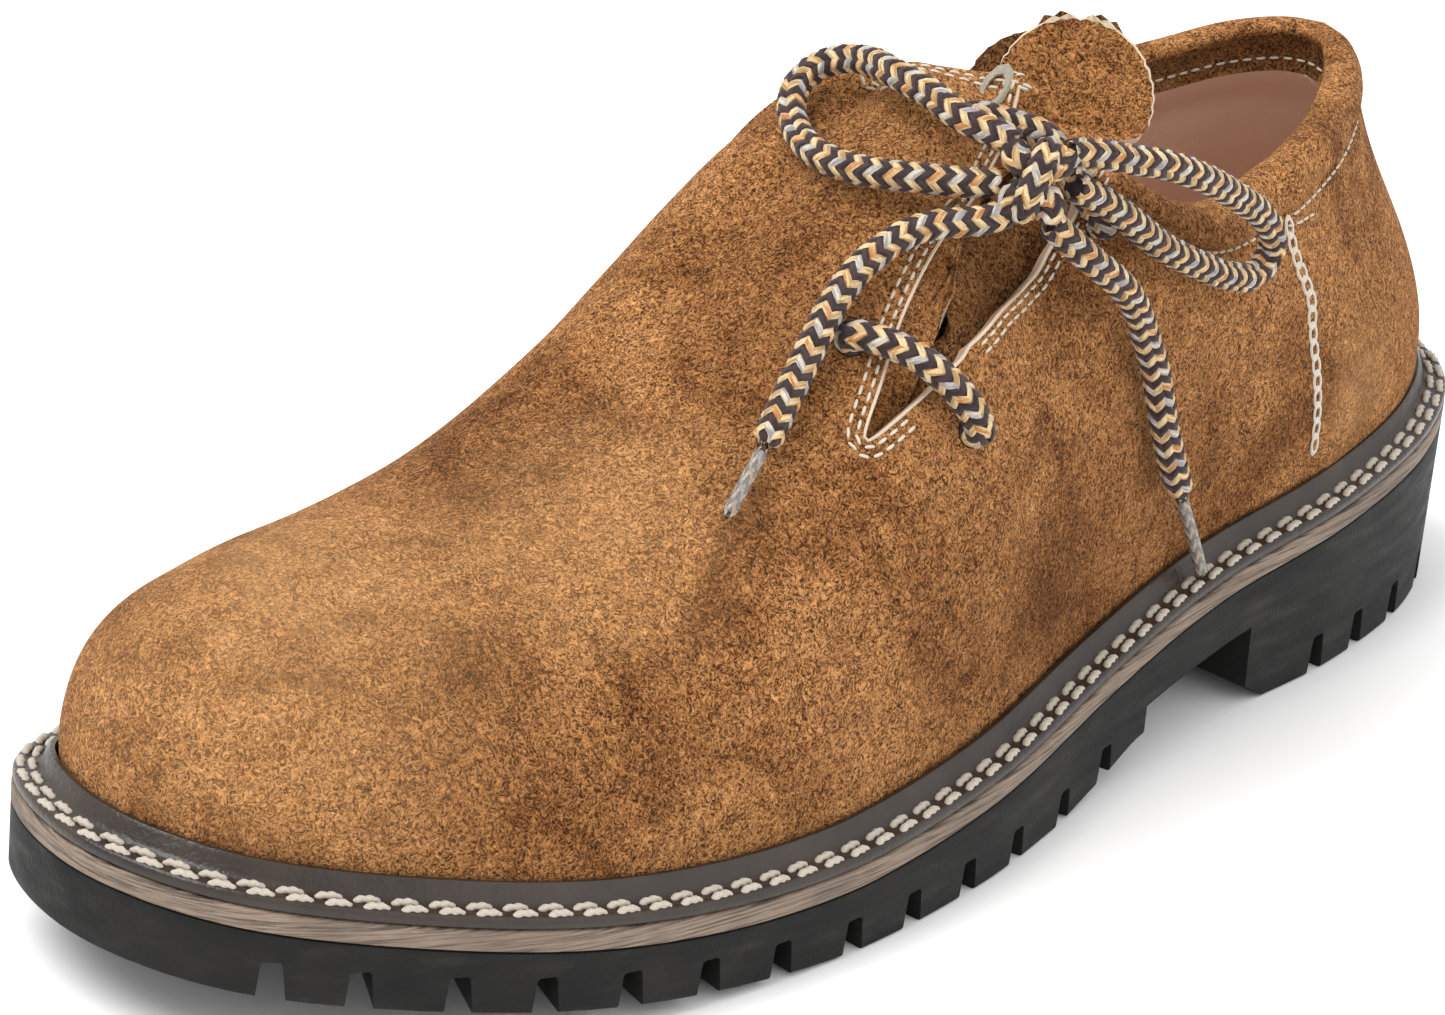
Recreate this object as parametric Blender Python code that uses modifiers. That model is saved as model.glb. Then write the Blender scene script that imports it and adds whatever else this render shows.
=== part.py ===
"""Haferl shoe for the left foot: a plain suede upper laced at its outer side, on a welted, lugged sole.

The toe points along -Y, the outer side of the foot is +X and +Z is up. The shoe stands on the plane
z = 0, with its origin under the middle of the sole. All sizes are in metres.
"""

import math

import bmesh
import bpy
import numpy as np
from mathutils import Matrix, Vector

# Driving sizes
LENGTH = 0.305          # outsole, toe to heel
BALL_WIDTH = 0.106      # outsole at its widest
FORE_RUBBER = 0.0105    # outsole under the ball
HEEL_RUBBER = 0.0326    # outsole and heel together, at the back
TOE_SPRING = 0.0118     # floor to tread at the toe tip
MIDSOLE = 0.0036        # layer between outsole and welt
WELT = 0.0022           # flat of the welt, which holds the stitches
LIP_RISE = 0.0053       # midsole to the top of the welt's storm lip
FEATHER = 0.0068        # sole edge in to the upper
WALL = 0.0020           # suede and lining together
COLLAR = 0.0055         # padded edge of the collar
INSTEP_RISE = 0.0875    # feather to the top of the vamp
COUNTER_STEP = 0.0008   # counter laid over the quarter
INSOLE = 0.0030
TONGUE = 0.0018
TONGUE_ROOM = 0.0013    # upper's lining to the tongue
TONGUE_DIP = 0.0047     # further below the inner side of the throat
LOBE = 0.0125           # radius of the tongue's round end
FACING = 0.0012         # strip behind the back edge of the lacing gap
LACE = 0.0045
AGLET = 0.0022
KNOT = (0.0098, 0.0098, 0.0120)
EYELET = 0.0052
GROOVE = 0.0062         # width of a groove in the tread's side, below the tread
GROOVE_DEPTH = 0.0060
GROOVE_REACH = 0.0200   # groove inwards from the sole's edge
WAIST_RUBBER = 0.0088   # outsole under the arch
GAP = 0.0003            # between neighbouring pieces

# Counts that set how fine the solids are
SOLE_STEPS = 40
VAMP_STEPS, QUARTER_STEPS, WALL_STEPS = 20, 18, 10
TONGUE_STEPS, TONGUE_SPAN = 12, 14


class Table:
    """Rows of hand-chosen shares under named columns, read smoothly along the first column."""

    def __init__(self, names, *rows):
        self.names = names.split()
        self.rows = np.array(rows, float)

    def read(self, name, at):
        return smooth(self.rows[:, 0], self.rows[:, self.names.index(name)], at)


def smooth(knots, values, at):
    """A cubic through the values, with each slope taken from its two neighbours."""
    at = np.clip(at, knots[0], knots[-1])
    width = np.diff(knots)
    rise = np.diff(values) / width
    share = width[1:] / (width[1:] + width[:-1])
    slope = np.concatenate([rise[:1], rise[:-1] * share + rise[1:] * (1 - share), rise[-1:]])
    i = np.clip(np.searchsorted(knots, at, side="right") - 1, 0, len(width) - 1)
    t = (at - knots[i]) / width[i]
    start = (2 * t**3 - 3 * t**2 + 1) * values[i] + (t**3 - 2 * t**2 + t) * width[i] * slope[i]
    end = (3 * t**2 - 2 * t**3) * values[i + 1] + (t**3 - t**2) * width[i] * slope[i + 1]
    return start + end


# Sole outline, anticlockwise from the toe tip: across in ball widths, along in lengths
OUTLINE = Table(
    "turn across along",
    (0, -0.101, 0.000), (1, 0.127, 0.022), (2, 0.298, 0.092), (3, 0.431, 0.189),
    (4, 0.496, 0.318), (5, 0.485, 0.446), (6, 0.412, 0.577), (7, 0.368, 0.695),
    (8, 0.359, 0.811), (9, 0.299, 0.917), (10, 0.181, 0.982), (11, -0.013, 1.000),
    (12, -0.216, 0.979), (13, -0.352, 0.909), (14, -0.391, 0.809), (15, -0.380, 0.684),
    (16, -0.375, 0.558), (17, -0.423, 0.429), (18, -0.487, 0.300), (19, -0.493, 0.188),
    (20, -0.426, 0.093), (21, -0.327, 0.029),
)
# Rubber from tread to midsole, as a share of the way from its fore to its heel thickness
RUBBER = Table(
    "along lift",
    (0, 0), (0.30, 0), (0.42, 0.104), (0.54, 0.267), (0.66, 0.498), (0.78, 0.670), (0.90, 0.828), (1, 1),
)
# Tread above the floor, in toe springs
SPRING = Table(
    "along lift",
    (0, 1), (0.10, 0.60), (0.20, 0.27), (0.30, 0.05), (0.34, 0), (0.53, 0), (0.575, 0.20), (0.62, 0.50),
    (0.66, 0.40), (0.70, 0), (1, 0),
)
# Where the arch begins and the heel's front stands, in lengths
ARCH_START, HEEL_FRONT, HEEL_CHAMFER = 0.622, 0.725, 0.022
CHAMFER_RISE = 0.0035
# Grooves down the side of the tread, in lengths along the sole
FORE_GROOVES = (0.038, 0.071, 0.112, 0.152, 0.195, 0.240, 0.287, 0.336, 0.382, 0.431, 0.480, 0.532, 0.577)
HEEL_GROOVES = (0.795, 0.842, 0.892, 0.943)
TOE_GROOVES = (-0.45, -0.12, 0.22)   # across the toe, in half ball widths
# Ridge of the vamp: across in ball widths, height above the feather in instep rises
RIDGE = Table(
    "along across height",
    (0.10, -0.095, 0.390), (0.16, -0.105, 0.430), (0.24, -0.105, 0.486), (0.32, -0.100, 0.584),
    (0.40, -0.090, 0.735), (0.48, -0.075, 0.902), (0.55, -0.060, 1.005), (0.62, -0.045, 1.050),
)
TOE_TOP, THROAT = 0.13, 0.533   # ends of the ridge, in lengths
TOE_EASE = 0.020                # over which the toe's sections turn to face forwards
# Top edge from the throat round to the back of the heel, on the outer and the inner side of the foot
TOPLINE = Table(
    "around out_across out_along out_height in_across in_along in_height",
    (0.00, -0.065, 0.533, 1.000, -0.065, 0.533, 1.000),
    (0.05, -0.031, 0.541, 1.023, -0.113, 0.537, 0.981),
    (0.09, 0.005, 0.553, 1.012, -0.148, 0.541, 0.962),
    (0.13, 0.052, 0.566, 1.004, -0.180, 0.549, 0.931),
    (0.165, 0.108, 0.574, 1.008, -0.210, 0.560, 0.900),
    (0.20, 0.170, 0.572, 0.970, -0.232, 0.573, 0.866),
    (0.24, 0.230, 0.579, 0.905, -0.251, 0.589, 0.820),
    (0.31, 0.273, 0.608, 0.819, -0.275, 0.618, 0.758),
    (0.40, 0.287, 0.651, 0.717, -0.284, 0.657, 0.700),
    (0.47, 0.277, 0.690, 0.661, -0.284, 0.693, 0.672),
    (0.54, 0.263, 0.730, 0.655, -0.279, 0.733, 0.658),
    (0.64, 0.226, 0.785, 0.661, -0.258, 0.787, 0.652),
    (0.75, 0.172, 0.840, 0.670, -0.218, 0.840, 0.661),
    (0.86, 0.100, 0.884, 0.682, -0.148, 0.886, 0.682),
    (0.94, 0.040, 0.906, 0.690, -0.080, 0.908, 0.690),
    (1.00, -0.018, 0.914, 0.692, -0.018, 0.914, 0.692),
)
JOIN = 0.46   # way round the feather at which the sections reach the throat
# Wall sections from the toe tip (0) to the back of the heel (1): how far each climbs before it turns
# in, how far it swells out in feather insets, how flat it is under the ridge, and how upright it ends
WALLS = Table(
    "around out_climb out_swell out_flat in_climb in_swell in_flat upright",
    (0.00, 0.68, 0.15, 0.70, 0.68, 0.15, 0.70, 0),
    (0.15, 0.60, 0.15, 0.60, 0.63, 0.30, 0.54, 0),
    (0.35, 0.58, 0.29, 0.55, 0.52, 0.14, 0.50, 0),
    (0.50, 0.55, 0.29, 0.50, 0.59, 0.31, 0.56, 0),
    (0.62, 0.45, 0.29, 0.40, 0.46, 0.31, 0.41, 0.5),
    (0.75, 0.40, 0.22, 0.35, 0.40, 0.22, 0.35, 1),
    (0.90, 0.38, 0.18, 0.35, 0.38, 0.18, 0.35, 1),
    (1.00, 0.38, 0.18, 0.35, 0.38, 0.18, 0.35, 1),
)
UPRIGHT_SWELL = 0.45            # swell below an upright top edge, in feather insets
COUNTER_FROM = 0.776            # way round the feather at which the counter starts
PAD_FROM, PAD_DEPTH = 0.60, 0.72   # the collar's padding: way round, and height up the wall
# Side lacing gap on the outer side: way round the feather and height up the wall
GAP_EDGE = Table(
    "step around height",
    (0, 0.550, 1.000), (1, 0.530, 0.815), (2, 0.507, 0.715), (3, 0.482, 0.652), (4, 0.455, 0.637),
    (5, 0.431, 0.598), (6, 0.413, 0.543), (7, 0.400, 0.488), (8, 0.441, 0.465), (9, 0.475, 0.470),
    (10, 0.495, 0.491), (11, 0.517, 0.522), (12, 0.536, 0.565), (13, 0.569, 0.698), (14, 0.598, 1.000),
)
GAP_CUT = 0.020                 # reach of the cut beyond the top edge and through the wall
# Eyelets: way round the feather and height up the wall
EYELETS = {
    "low_front": (0.404, 0.635), "low_back": (0.458, 0.370),
    "top_front": (0.497, 0.800), "top_back": (0.590, 0.770),
}
# Lace routes, chosen by hand, in millimetres
BAR_LIFT = 0.0032
KNOT_AT = (30.7, 3.0, 107.9)
LOOP_FRONT = (
    (26.8, 2.4, 112.7), (23.0, 1.0, 114.0), (18.5, -0.3, 114.8), (11.0, 0.5, 116.3), (2.5, 1.5, 117.0),
    (-7.5, 4.0, 116.0), (-12.8, 1.5, 114.0), (-13.2, -4.0, 110.6), (-8.5, -8.5, 107.0), (-0.5, -12.0, 105.6),
    (6.5, -12.2, 105.6), (13.0, -10.8, 106.2), (18.8, -7.4, 106.6), (22.6, -3.6, 106.4), (25.9, 0.4, 106.5),
)
LOOP_BACK = (
    (33.4, 7.3, 112.3), (34.8, 12.8, 111.4), (36.2, 19.0, 109.6), (37.6, 27.0, 107.4), (38.4, 35.5, 103.9),
    (37.8, 47.5, 97.6), (36.8, 58.0, 90.8), (36.0, 62.6, 85.0), (35.8, 60.0, 81.0), (36.2, 52.0, 82.2),
    (36.2, 41.0, 87.0), (35.8, 31.0, 92.4), (35.9, 22.0, 98.6), (35.5, 14.2, 103.6), (34.8, 7.7, 107.0),
)
END_FRONT = (
    (29.0, -0.4, 102.8), (26.8, -4.4, 101.6), (24.0, -8.4, 101.2), (21.6, -12.4, 100.6), (20.1, -17.0, 98.9),
    (19.2, -21.6, 96.6), (19.2, -26.0, 94.0), (19.8, -30.5, 90.6), (20.8, -35.0, 86.4), (21.6, -39.4, 81.6),
    (22.8, -43.8, 77.8), (24.2, -48.2, 74.2),
)
AGLET_FRONT = ((24.3, -48.5, 73.9), (25.6, -53.6, 70.1), (27.0, -58.8, 66.4))
END_BACK = (
    (34.4, 3.0, 102.0), (36.2, 6.9, 98.4), (37.6, 12.0, 94.2), (38.3, 17.8, 89.8), (37.8, 23.6, 84.4),
    (37.4, 28.0, 78.0), (37.7, 32.0, 70.6), (38.2, 34.6, 62.6), (38.6, 38.0, 54.6), (38.4, 42.4, 46.8),
)
AGLET_BACK = ((38.4, 42.6, 46.4), (38.2, 47.7, 37.8), (37.9, 52.6, 29.2))
CORD_STEP = 0.0085              # between a cord's points

TONGUE_ACROSS = (-0.42, 1)      # the tongue's part of the way over the vamp, from the inner side
# The tongue's round end, in metres: its centre, and its ways across and up
LOBE_AT, LOBE_ACROSS, LOBE_RISE = (0.0146, 0.0320, 0.1103), (0.80, 0.60, 0.02), (-0.05, 0.30, 0.95)

SUEDE = ((0.47, 0.19, 0.055), 0.95, 0.0)
TONGUE_SUEDE = ((0.42, 0.17, 0.05), 0.95, 0.0)
RUBBER_BLACK = ((0.025, 0.023, 0.021), 0.75, 0.0)
WOOD_LAYER = ((0.22, 0.165, 0.125), 0.7, 0.0)
WELT_LEATHER = ((0.045, 0.032, 0.026), 0.3, 0.0)
LINING = ((0.44, 0.24, 0.15), 0.6, 0.0)
LACE_BRAID = ((0.16, 0.10, 0.07), 0.85, 0.0)
CLEAR_TIP = ((0.75, 0.72, 0.66), 0.2, 0.0)


def dense_outline():
    """The sole's edge as many points, anticlockwise, with the directions that point out of it."""
    turns = len(OUTLINE.rows)
    wrapped = np.vstack([OUTLINE.rows[-2:], OUTLINE.rows, OUTLINE.rows[:3]])
    knots = np.arange(-2.0, turns + 3)
    at = np.linspace(0, turns, 60 * turns, endpoint=False)
    points = np.stack([smooth(knots, wrapped[:, 1], at), smooth(knots, wrapped[:, 2], at)], axis=1)
    points -= (points.max(axis=0) + points.min(axis=0)) / 2
    points *= (BALL_WIDTH, LENGTH) / np.ptp(points, axis=0)
    ahead = np.roll(points, -1, axis=0) - np.roll(points, 1, axis=0)
    ahead /= np.linalg.norm(ahead, axis=1)[:, None]
    return points, np.stack([ahead[:, 1], -ahead[:, 0]], axis=1)


EDGE, EDGE_OUT = dense_outline()


def sole_side(side, inset, around):
    """Points inside the sole's edge from the toe tip (0) to the back of the heel (1), and the ways out."""
    tip, back = EDGE[:, 1].argmin(), EDGE[:, 1].argmax()
    step = 1 if side == "out" else -1
    run = (tip + step * np.arange((step * (back - tip)) % len(EDGE) + 1)) % len(EDGE)
    arc = np.concatenate([[0], np.cumsum(np.linalg.norm(np.diff(EDGE[run], axis=0), axis=1))])
    at = np.asarray(around) * arc[-1]
    columns = np.hstack([EDGE[run] - EDGE_OUT[run] * inset, EDGE_OUT[run]])
    read = np.stack([np.interp(at, arc, column) for column in columns.T], axis=1)
    return read[:, :2], read[:, 2:]


def along(y):
    return y / LENGTH + 0.5


def at_share(share):
    return (share - 0.5) * LENGTH


def tread_z(y):
    return TOE_SPRING * np.maximum(SPRING.read("lift", along(y)), 0)


def rubber_z(y):
    """Top of the outsole. Its spring ends at the ball, so the rise of the tread's last lugs stays out of it."""
    spring = np.where(along(y) < 0.4, tread_z(y), 0)
    return spring + FORE_RUBBER + (HEEL_RUBBER - FORE_RUBBER) * RUBBER.read("lift", along(y))


def midsole_z(y):
    return rubber_z(y) + MIDSOLE


def feather_z(y):
    return midsole_z(y) + LIP_RISE


def vamp_ridge(around):
    """Points of the ridge, shared by both sides, that the sections from the toe to the throat end on."""
    def section_y(at):
        y = sum(sole_side(side, FEATHER, at)[0][:, 1] for side in ("out", "in")) / 2
        start = at_share(TOE_TOP)
        return y, (y + start + np.sqrt((y - start) ** 2 + TOE_EASE**2)) / 2

    y, ridge_y = section_y(around)
    join, ridge_join = section_y([JOIN])
    share = np.clip((y - at_share(TOE_TOP)) / (join - at_share(TOE_TOP)), 0, 1)
    ridge_y = ridge_y + (at_share(THROAT) - ridge_join) * share
    across = BALL_WIDTH * RIDGE.read("across", along(ridge_y))
    return np.stack([across, ridge_y, feather_z(ridge_y) + INSTEP_RISE * RIDGE.read("height", along(ridge_y))], axis=1)


def top_edge(side, around):
    rear = np.clip((around - JOIN) / (1 - JOIN), 0, 1)
    y = at_share(TOPLINE.read(side + "_along", rear))
    across = BALL_WIDTH * TOPLINE.read(side + "_across", rear)
    edge = np.stack([across, y, feather_z(y) + INSTEP_RISE * TOPLINE.read(side + "_height", rear)], axis=1)
    return np.where((around <= JOIN + 1e-9)[:, None], vamp_ridge(around), edge)


def upper_points(side, around, height):
    """Points of the upper's outer face: around 0 to 1 from toe to heel, height 0 to 1 from feather to top."""
    around, height = np.broadcast_arrays(np.asarray(around, float), np.asarray(height, float))
    way, up = around.ravel(), height.ravel()[:, None]
    plan, out = sole_side(side, FEATHER, way)
    foot = np.column_stack([plan, feather_z(plan[:, 1])])
    out = np.column_stack([out, np.zeros(len(way))])
    top = top_edge(side, way)
    climb, swell, flat, upright = (
        WALLS.read(name, way)[:, None] for name in (side + "_climb", side + "_swell", side + "_flat", "upright")
    )
    span = top - foot
    rise = span * (0, 0, 1)
    lower = foot + rise * climb + out * swell * FEATHER
    level = (span - rise) * (1 - upright) + rise * upright
    upper = top - level * flat + out * upright * UPRIGHT_SWELL * FEATHER
    face = (1 - up) ** 3 * foot + 3 * (1 - up) ** 2 * up * lower + 3 * (1 - up) * up**2 * upper + up**3 * top
    return face.reshape(around.shape + (3,))


def upper_normals(side, around, height):
    """Directions out of the upper's outer face."""
    small = 0.004
    ahead = upper_points(side, around + small, height) - upper_points(side, around - small, height)
    climb = upper_points(side, around, height + small) - upper_points(side, around, height - small)
    out = np.cross(ahead, climb) if side == "out" else np.cross(climb, ahead)
    return out / np.linalg.norm(out, axis=-1, keepdims=True)


def collection(name):
    made = bpy.data.collections.new(name)
    bpy.context.scene.collection.children.link(made)
    return made


def material(name, look):
    colour, roughness, metallic = look
    made = bpy.data.materials.new(name)
    made.use_nodes = True
    shader = made.node_tree.nodes["Principled BSDF"]
    shader.inputs["Base Color"].default_value = (*colour, 1)
    shader.inputs["Roughness"].default_value = roughness
    shader.inputs["Metallic"].default_value = metallic
    return made


def mesh_object(name, verts, faces, look, place):
    mesh = bpy.data.meshes.new(name)
    mesh.from_pydata([tuple(map(float, vert)) for vert in verts], [], faces)
    obj = bpy.data.objects.new(name, mesh)
    if look:
        mesh.materials.append(material(name, look))
    place.objects.link(obj)
    return obj


def clean(obj, merge=1e-6):
    """Merges doubled points and turns the faces outwards."""
    bm = bmesh.new()
    bm.from_mesh(obj.data)
    bmesh.ops.remove_doubles(bm, verts=bm.verts, dist=merge)
    bmesh.ops.recalc_face_normals(bm, faces=bm.faces)
    bm.to_mesh(obj.data)
    bm.free()
    return obj


def smooth_shaded(obj, angle=40):
    obj.data.shade_smooth()
    obj.data.set_sharp_from_angle(angle=math.radians(angle))
    return obj


def band_faces(rows, columns, closed):
    """Quads of a grid of points, row by row. A closed grid's last column meets its first."""
    last = columns if closed else columns - 1
    return [
        (row * columns + k, row * columns + (k + 1) % columns, (row + 1) * columns + (k + 1) % columns, (row + 1) * columns + k)
        for row in range(rows - 1)
        for k in range(last)
    ]


def ring_of(inset):
    """Closed ring inside the sole's edge: the outer side from toe to heel, then the inner side back."""
    way = np.linspace(0, 1, SOLE_STEPS + 1)
    outer, _ = sole_side("out", inset, way)
    inner, _ = sole_side("in", inset, way)
    return np.vstack([outer, inner[-2:0:-1]])


def ladder_faces(first):
    """Faces that close a ring from side to side, rung by rung."""
    count = 2 * SOLE_STEPS
    rungs = [(first + 1, first, first + count - 1)]
    for k in range(1, SOLE_STEPS - 1):
        rungs.append((first + k, first + k + 1, first + count - k - 1, first + count - k))
    rungs[0] = (first, first + 1, first + count - 1)
    rungs.append((first + SOLE_STEPS - 1, first + SOLE_STEPS, first + SOLE_STEPS + 1))
    return rungs


def layer(name, inset, under, over, look, place):
    """A closed sole layer between two heights that follow the length."""
    ring = ring_of(inset)
    levels = [np.column_stack([ring, height(ring[:, 1])]) for height in (under, over)]
    count = len(ring)
    faces = band_faces(2, count, True) + ladder_faces(0) + ladder_faces(count)
    return clean(mesh_object(name, np.vstack(levels), faces, look, place))


def cut(obj, cutter):
    modifier = obj.modifiers.new("cut_" + cutter.name, "BOOLEAN")
    modifier.operation = "DIFFERENCE"
    modifier.solver = "EXACT"
    modifier.object = cutter
    cutter.hide_render = True
    cutter.display_type = "WIRE"


def box_cutter(name, boxes, place):
    """One mesh of separate boxes, each given by its centre, its half sizes and its turn about Z."""
    bm = bmesh.new()
    for centre, half, turn in boxes:
        shape = Matrix.Translation(centre) @ Matrix.Rotation(turn, 4, "Z") @ Matrix.Diagonal((*[2 * h for h in half], 1))
        made = bmesh.ops.create_cube(bm, size=1, matrix=shape)
        top = [vert for vert in made["verts"] if (shape.inverted() @ vert.co).z > 0]
        centre_top = sum((vert.co for vert in top), Vector()) / len(top)
        across = Matrix.Rotation(turn, 4, "Z") @ Vector((0, 1, 0))
        for vert in top:
            vert.co -= across * (vert.co - centre_top).dot(across) * GROOVE_TAPER
    mesh = bpy.data.meshes.new(name)
    bm.to_mesh(mesh)
    bm.free()
    obj = bpy.data.objects.new(name, mesh)
    place.objects.link(obj)
    return obj


GROOVE_TAPER = 0.50


def side_grooves(shares, heel):
    """Boxes that cut the tread's side, each square to the sole's edge."""
    boxes = []
    way = np.linspace(0, 1, 600)
    for side in ("out", "in"):
        edge, out = sole_side(side, 0, way)
        for share in shares:
            near = np.abs(edge[:, 1] - at_share(share))
            near[edge[:, 0] * (1 if side == "out" else -1) < 0] = 1
            k = near.argmin()
            point, away = edge[k], out[k]
            reach = GROOVE_REACH
            centre = point - away * (reach / 2 - 0.004)
            depth = GROOVE_DEPTH + (0.001 if heel else 0)
            floor = tread_z(point[1])
            boxes.append((
                (centre[0], centre[1], floor + depth / 2 - 0.004),
                (reach / 2 + 0.004, GROOVE / 2, depth / 2 + 0.004),
                math.atan2(away[1], away[0]),
            ))
    return boxes


def middle_grooves():
    """Boxes across the middle of the forefoot and the heel, which leave a row of blocks."""
    boxes = []
    for shares, half_width in ((FORE_GROOVES[3:-1], 0.19), (HEEL_GROOVES[:-1], 0.11)):
        for first, second in zip(shares, shares[1:]):
            share = (first + second) / 2
            y = at_share(share)
            boxes.append((
                (-0.02 * BALL_WIDTH, y, tread_z(y) + GROOVE_DEPTH / 2 - 0.004),
                (half_width * BALL_WIDTH, GROOVE / 2, GROOVE_DEPTH / 2 + 0.004),
                0,
            ))
    return boxes


def build_outsole(place, cutters):
    outsole = layer("outsole", 0, tread_z, rubber_z, RUBBER_BLACK, place)
    start, front = at_share(ARCH_START), at_share(HEEL_FRONT)
    chamfer = HEEL_CHAMFER * LENGTH
    below = -0.01
    roof = [rubber_z(np.array([y]))[0] - WAIST_RUBBER for y in (start, front)]
    profile = [
        (start, below), (start - 0.0008, roof[0]), (front, roof[1]),
        (front + 0.0006, CHAMFER_RISE), (front + chamfer, -0.0002), (front + chamfer, below),
    ]
    half = BALL_WIDTH
    verts = [(x, y, z) for x in (-half, half) for y, z in profile]
    count = len(profile)
    faces = [tuple(range(count)), tuple(range(2 * count - 1, count - 1, -1))]
    faces += [(k, k + count, (k + 1) % count + count, (k + 1) % count) for k in range(count)]
    arch = clean(mesh_object("arch_cut", verts, faces, None, cutters))
    cut(outsole, arch)
    grooves = side_grooves(FORE_GROOVES, False) + side_grooves(HEEL_GROOVES, True)
    cut(outsole, box_cutter("groove_cut", grooves, cutters))
    cut(outsole, box_cutter("middle_cut", middle_grooves(), cutters))
    return outsole


def build_welt(place):
    """A ring round the upper: a flat strip for the stitches, then a lip that climbs against the upper."""
    inner = FEATHER - 2 * GAP
    profile = (
        (0.0004, GAP), (0.0004, WELT), (0.0040, WELT + 0.0006), (inner - 0.0010, LIP_RISE), (inner, LIP_RISE), (inner, GAP),
    )
    rings = []
    for inset, rise in profile:
        ring = ring_of(inset)
        rings.append(np.column_stack([ring, midsole_z(ring[:, 1]) + rise]))
    rings.append(rings[0])
    count = len(rings[0])
    welt = mesh_object("welt", np.vstack(rings), band_faces(len(rings), count, True), WELT_LEATHER, place)
    return smooth_shaded(clean(welt))


def build_upper(place, cutters):
    """The closed lasting edge, vamp and quarters as one wall, padded at the collar and cut for the lacing."""
    way = np.concatenate([
        np.linspace(0, JOIN, VAMP_STEPS + 1),
        np.linspace(JOIN, 1, QUARTER_STEPS + 1)[1:],
    ])
    up = np.linspace(0, 1, WALL_STEPS + 1)
    verts, faces, padded = [], [], []
    for side in ("out", "in"):
        face = upper_points(side, way[:, None], up[None, :])
        counter = np.clip((way - COUNTER_FROM) / 0.01, 0, 1)[:, None, None] * COUNTER_STEP
        plan, out = sole_side(side, FEATHER, way)
        out3 = np.column_stack([out, np.zeros(len(way))])[:, None, :]
        face[:, 1:] += out3 * counter
        base = np.column_stack([plan, midsole_z(plan[:, 1]) + GAP])
        grid = np.concatenate([base[:, None, :], face], axis=1)
        first = len(verts)
        verts.extend(grid.reshape(-1, 3))
        columns = grid.shape[1]
        quads = band_faces(len(way), columns, False)
        faces += [tuple(first + k for k in (quad if side == "in" else quad[::-1])) for quad in quads]
        for i, share in enumerate(way):
            pad = np.clip((share - PAD_FROM) / 0.10, 0, 1)
            for j in range(columns):
                rise = np.clip(((j - 1) / WALL_STEPS - PAD_DEPTH) / (0.9 - PAD_DEPTH), 0, 1)
                padded.append((first + i * columns + j, pad * rise * rise * (3 - 2 * rise)))
    upper = mesh_object("upper", verts, faces, SUEDE, place)
    group = upper.vertex_groups.new(name="collar")
    for index, weight in padded:
        group.add([index], float(weight), "REPLACE")
    weld = upper.modifiers.new("weld", "WELD")
    weld.merge_threshold = 0.00005
    wall = upper.modifiers.new("wall", "SOLIDIFY")
    wall.thickness = COLLAR
    wall.offset = -1
    wall.vertex_group = "collar"
    wall.thickness_vertex_group = WALL / COLLAR
    wall.use_even_offset = False
    cut(upper, gap_cutter(cutters))
    for name, (around, height) in EYELETS.items():
        cut(upper, eyelet_cutter(name, around, height, cutters))
    return smooth_shaded(upper)


def gap_cutter(place):
    """A prism through the outer wall along the edge of the lacing gap."""
    steps = np.linspace(0, len(GAP_EDGE.rows) - 1, 29)
    around, height = GAP_EDGE.read("around", steps), np.minimum(GAP_EDGE.read("height", steps), 0.999)
    edge = upper_points("out", around, height)
    through = upper_normals("out", np.array([0.49]), np.array([0.62]))[0]
    beyond = np.array([0, 0, GAP_CUT])
    edge = np.vstack([edge[:1] + beyond, edge, edge[-1:] + beyond])
    flat = edge - np.outer((edge - edge.mean(axis=0)) @ through, through)
    count = len(flat)
    verts = np.vstack([flat + through * GAP_CUT, flat - through * GAP_CUT])
    faces = [tuple(range(count)), tuple(range(2 * count - 1, count - 1, -1))]
    faces += [(k, k + count, (k + 1) % count + count, (k + 1) % count) for k in range(count)]
    return clean(mesh_object("gap_cut", verts, faces, None, place))


def eyelet_cutter(name, around, height, place):
    at = np.array([around]), np.array([height])
    centre, out = upper_points("out", *at)[0], upper_normals("out", *at)[0]
    bm = bmesh.new()
    turn = Vector(out).to_track_quat("Z", "Y").to_matrix().to_4x4()
    bmesh.ops.create_cone(
        bm, cap_ends=True, segments=12, radius1=EYELET / 2, radius2=EYELET / 2, depth=6 * WALL,
        matrix=Matrix.Translation(Vector(centre)) @ turn,
    )
    mesh = bpy.data.meshes.new("eyelet_" + name)
    bm.to_mesh(mesh)
    bm.free()
    obj = bpy.data.objects.new("eyelet_" + name, mesh)
    place.objects.link(obj)
    return obj


def under_vamp(r, across):
    """Points below the vamp and the lacing gap: r 0 to 1 towards the throat, across -1 to 1 from the inner side."""
    outer = across > 0
    around = 0.33 + 0.13 * r + np.abs(across) * r**2 * np.where(outer, 0.10, 0.03)
    height = 0.995 - np.abs(across) * np.where(outer, 0.60 - 0.45 * r**3, 0.34 - 0.14 * r)
    row = []
    for side in ("in", "out"):
        chosen = outer == (side == "out")
        room = TONGUE_ROOM * (1 + r * (1.45 + 0.2 * np.abs(across[chosen])))[:, None]
        room += TONGUE_DIP * r**2 * np.clip(0.25 - across[chosen], 0, 1)[:, None]
        at = around[chosen], height[chosen]
        row.append(upper_points(side, *at) - upper_normals(side, *at) * (WALL + room))
    return np.concatenate(row)


def lobe_row(up, span):
    """A chord of the tongue's round end: up -1 to 1, span -1 to 1."""
    centre, across, rise = (np.array(values) for values in (LOBE_AT, LOBE_ACROSS, LOBE_RISE))
    across = across / np.linalg.norm(across)
    rise = rise - across * (rise @ across)
    rise /= np.linalg.norm(rise)
    reach = math.sqrt(1 - up**2) * span[:, None]
    return centre + LOBE * (rise * up + across * reach), rise


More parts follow.
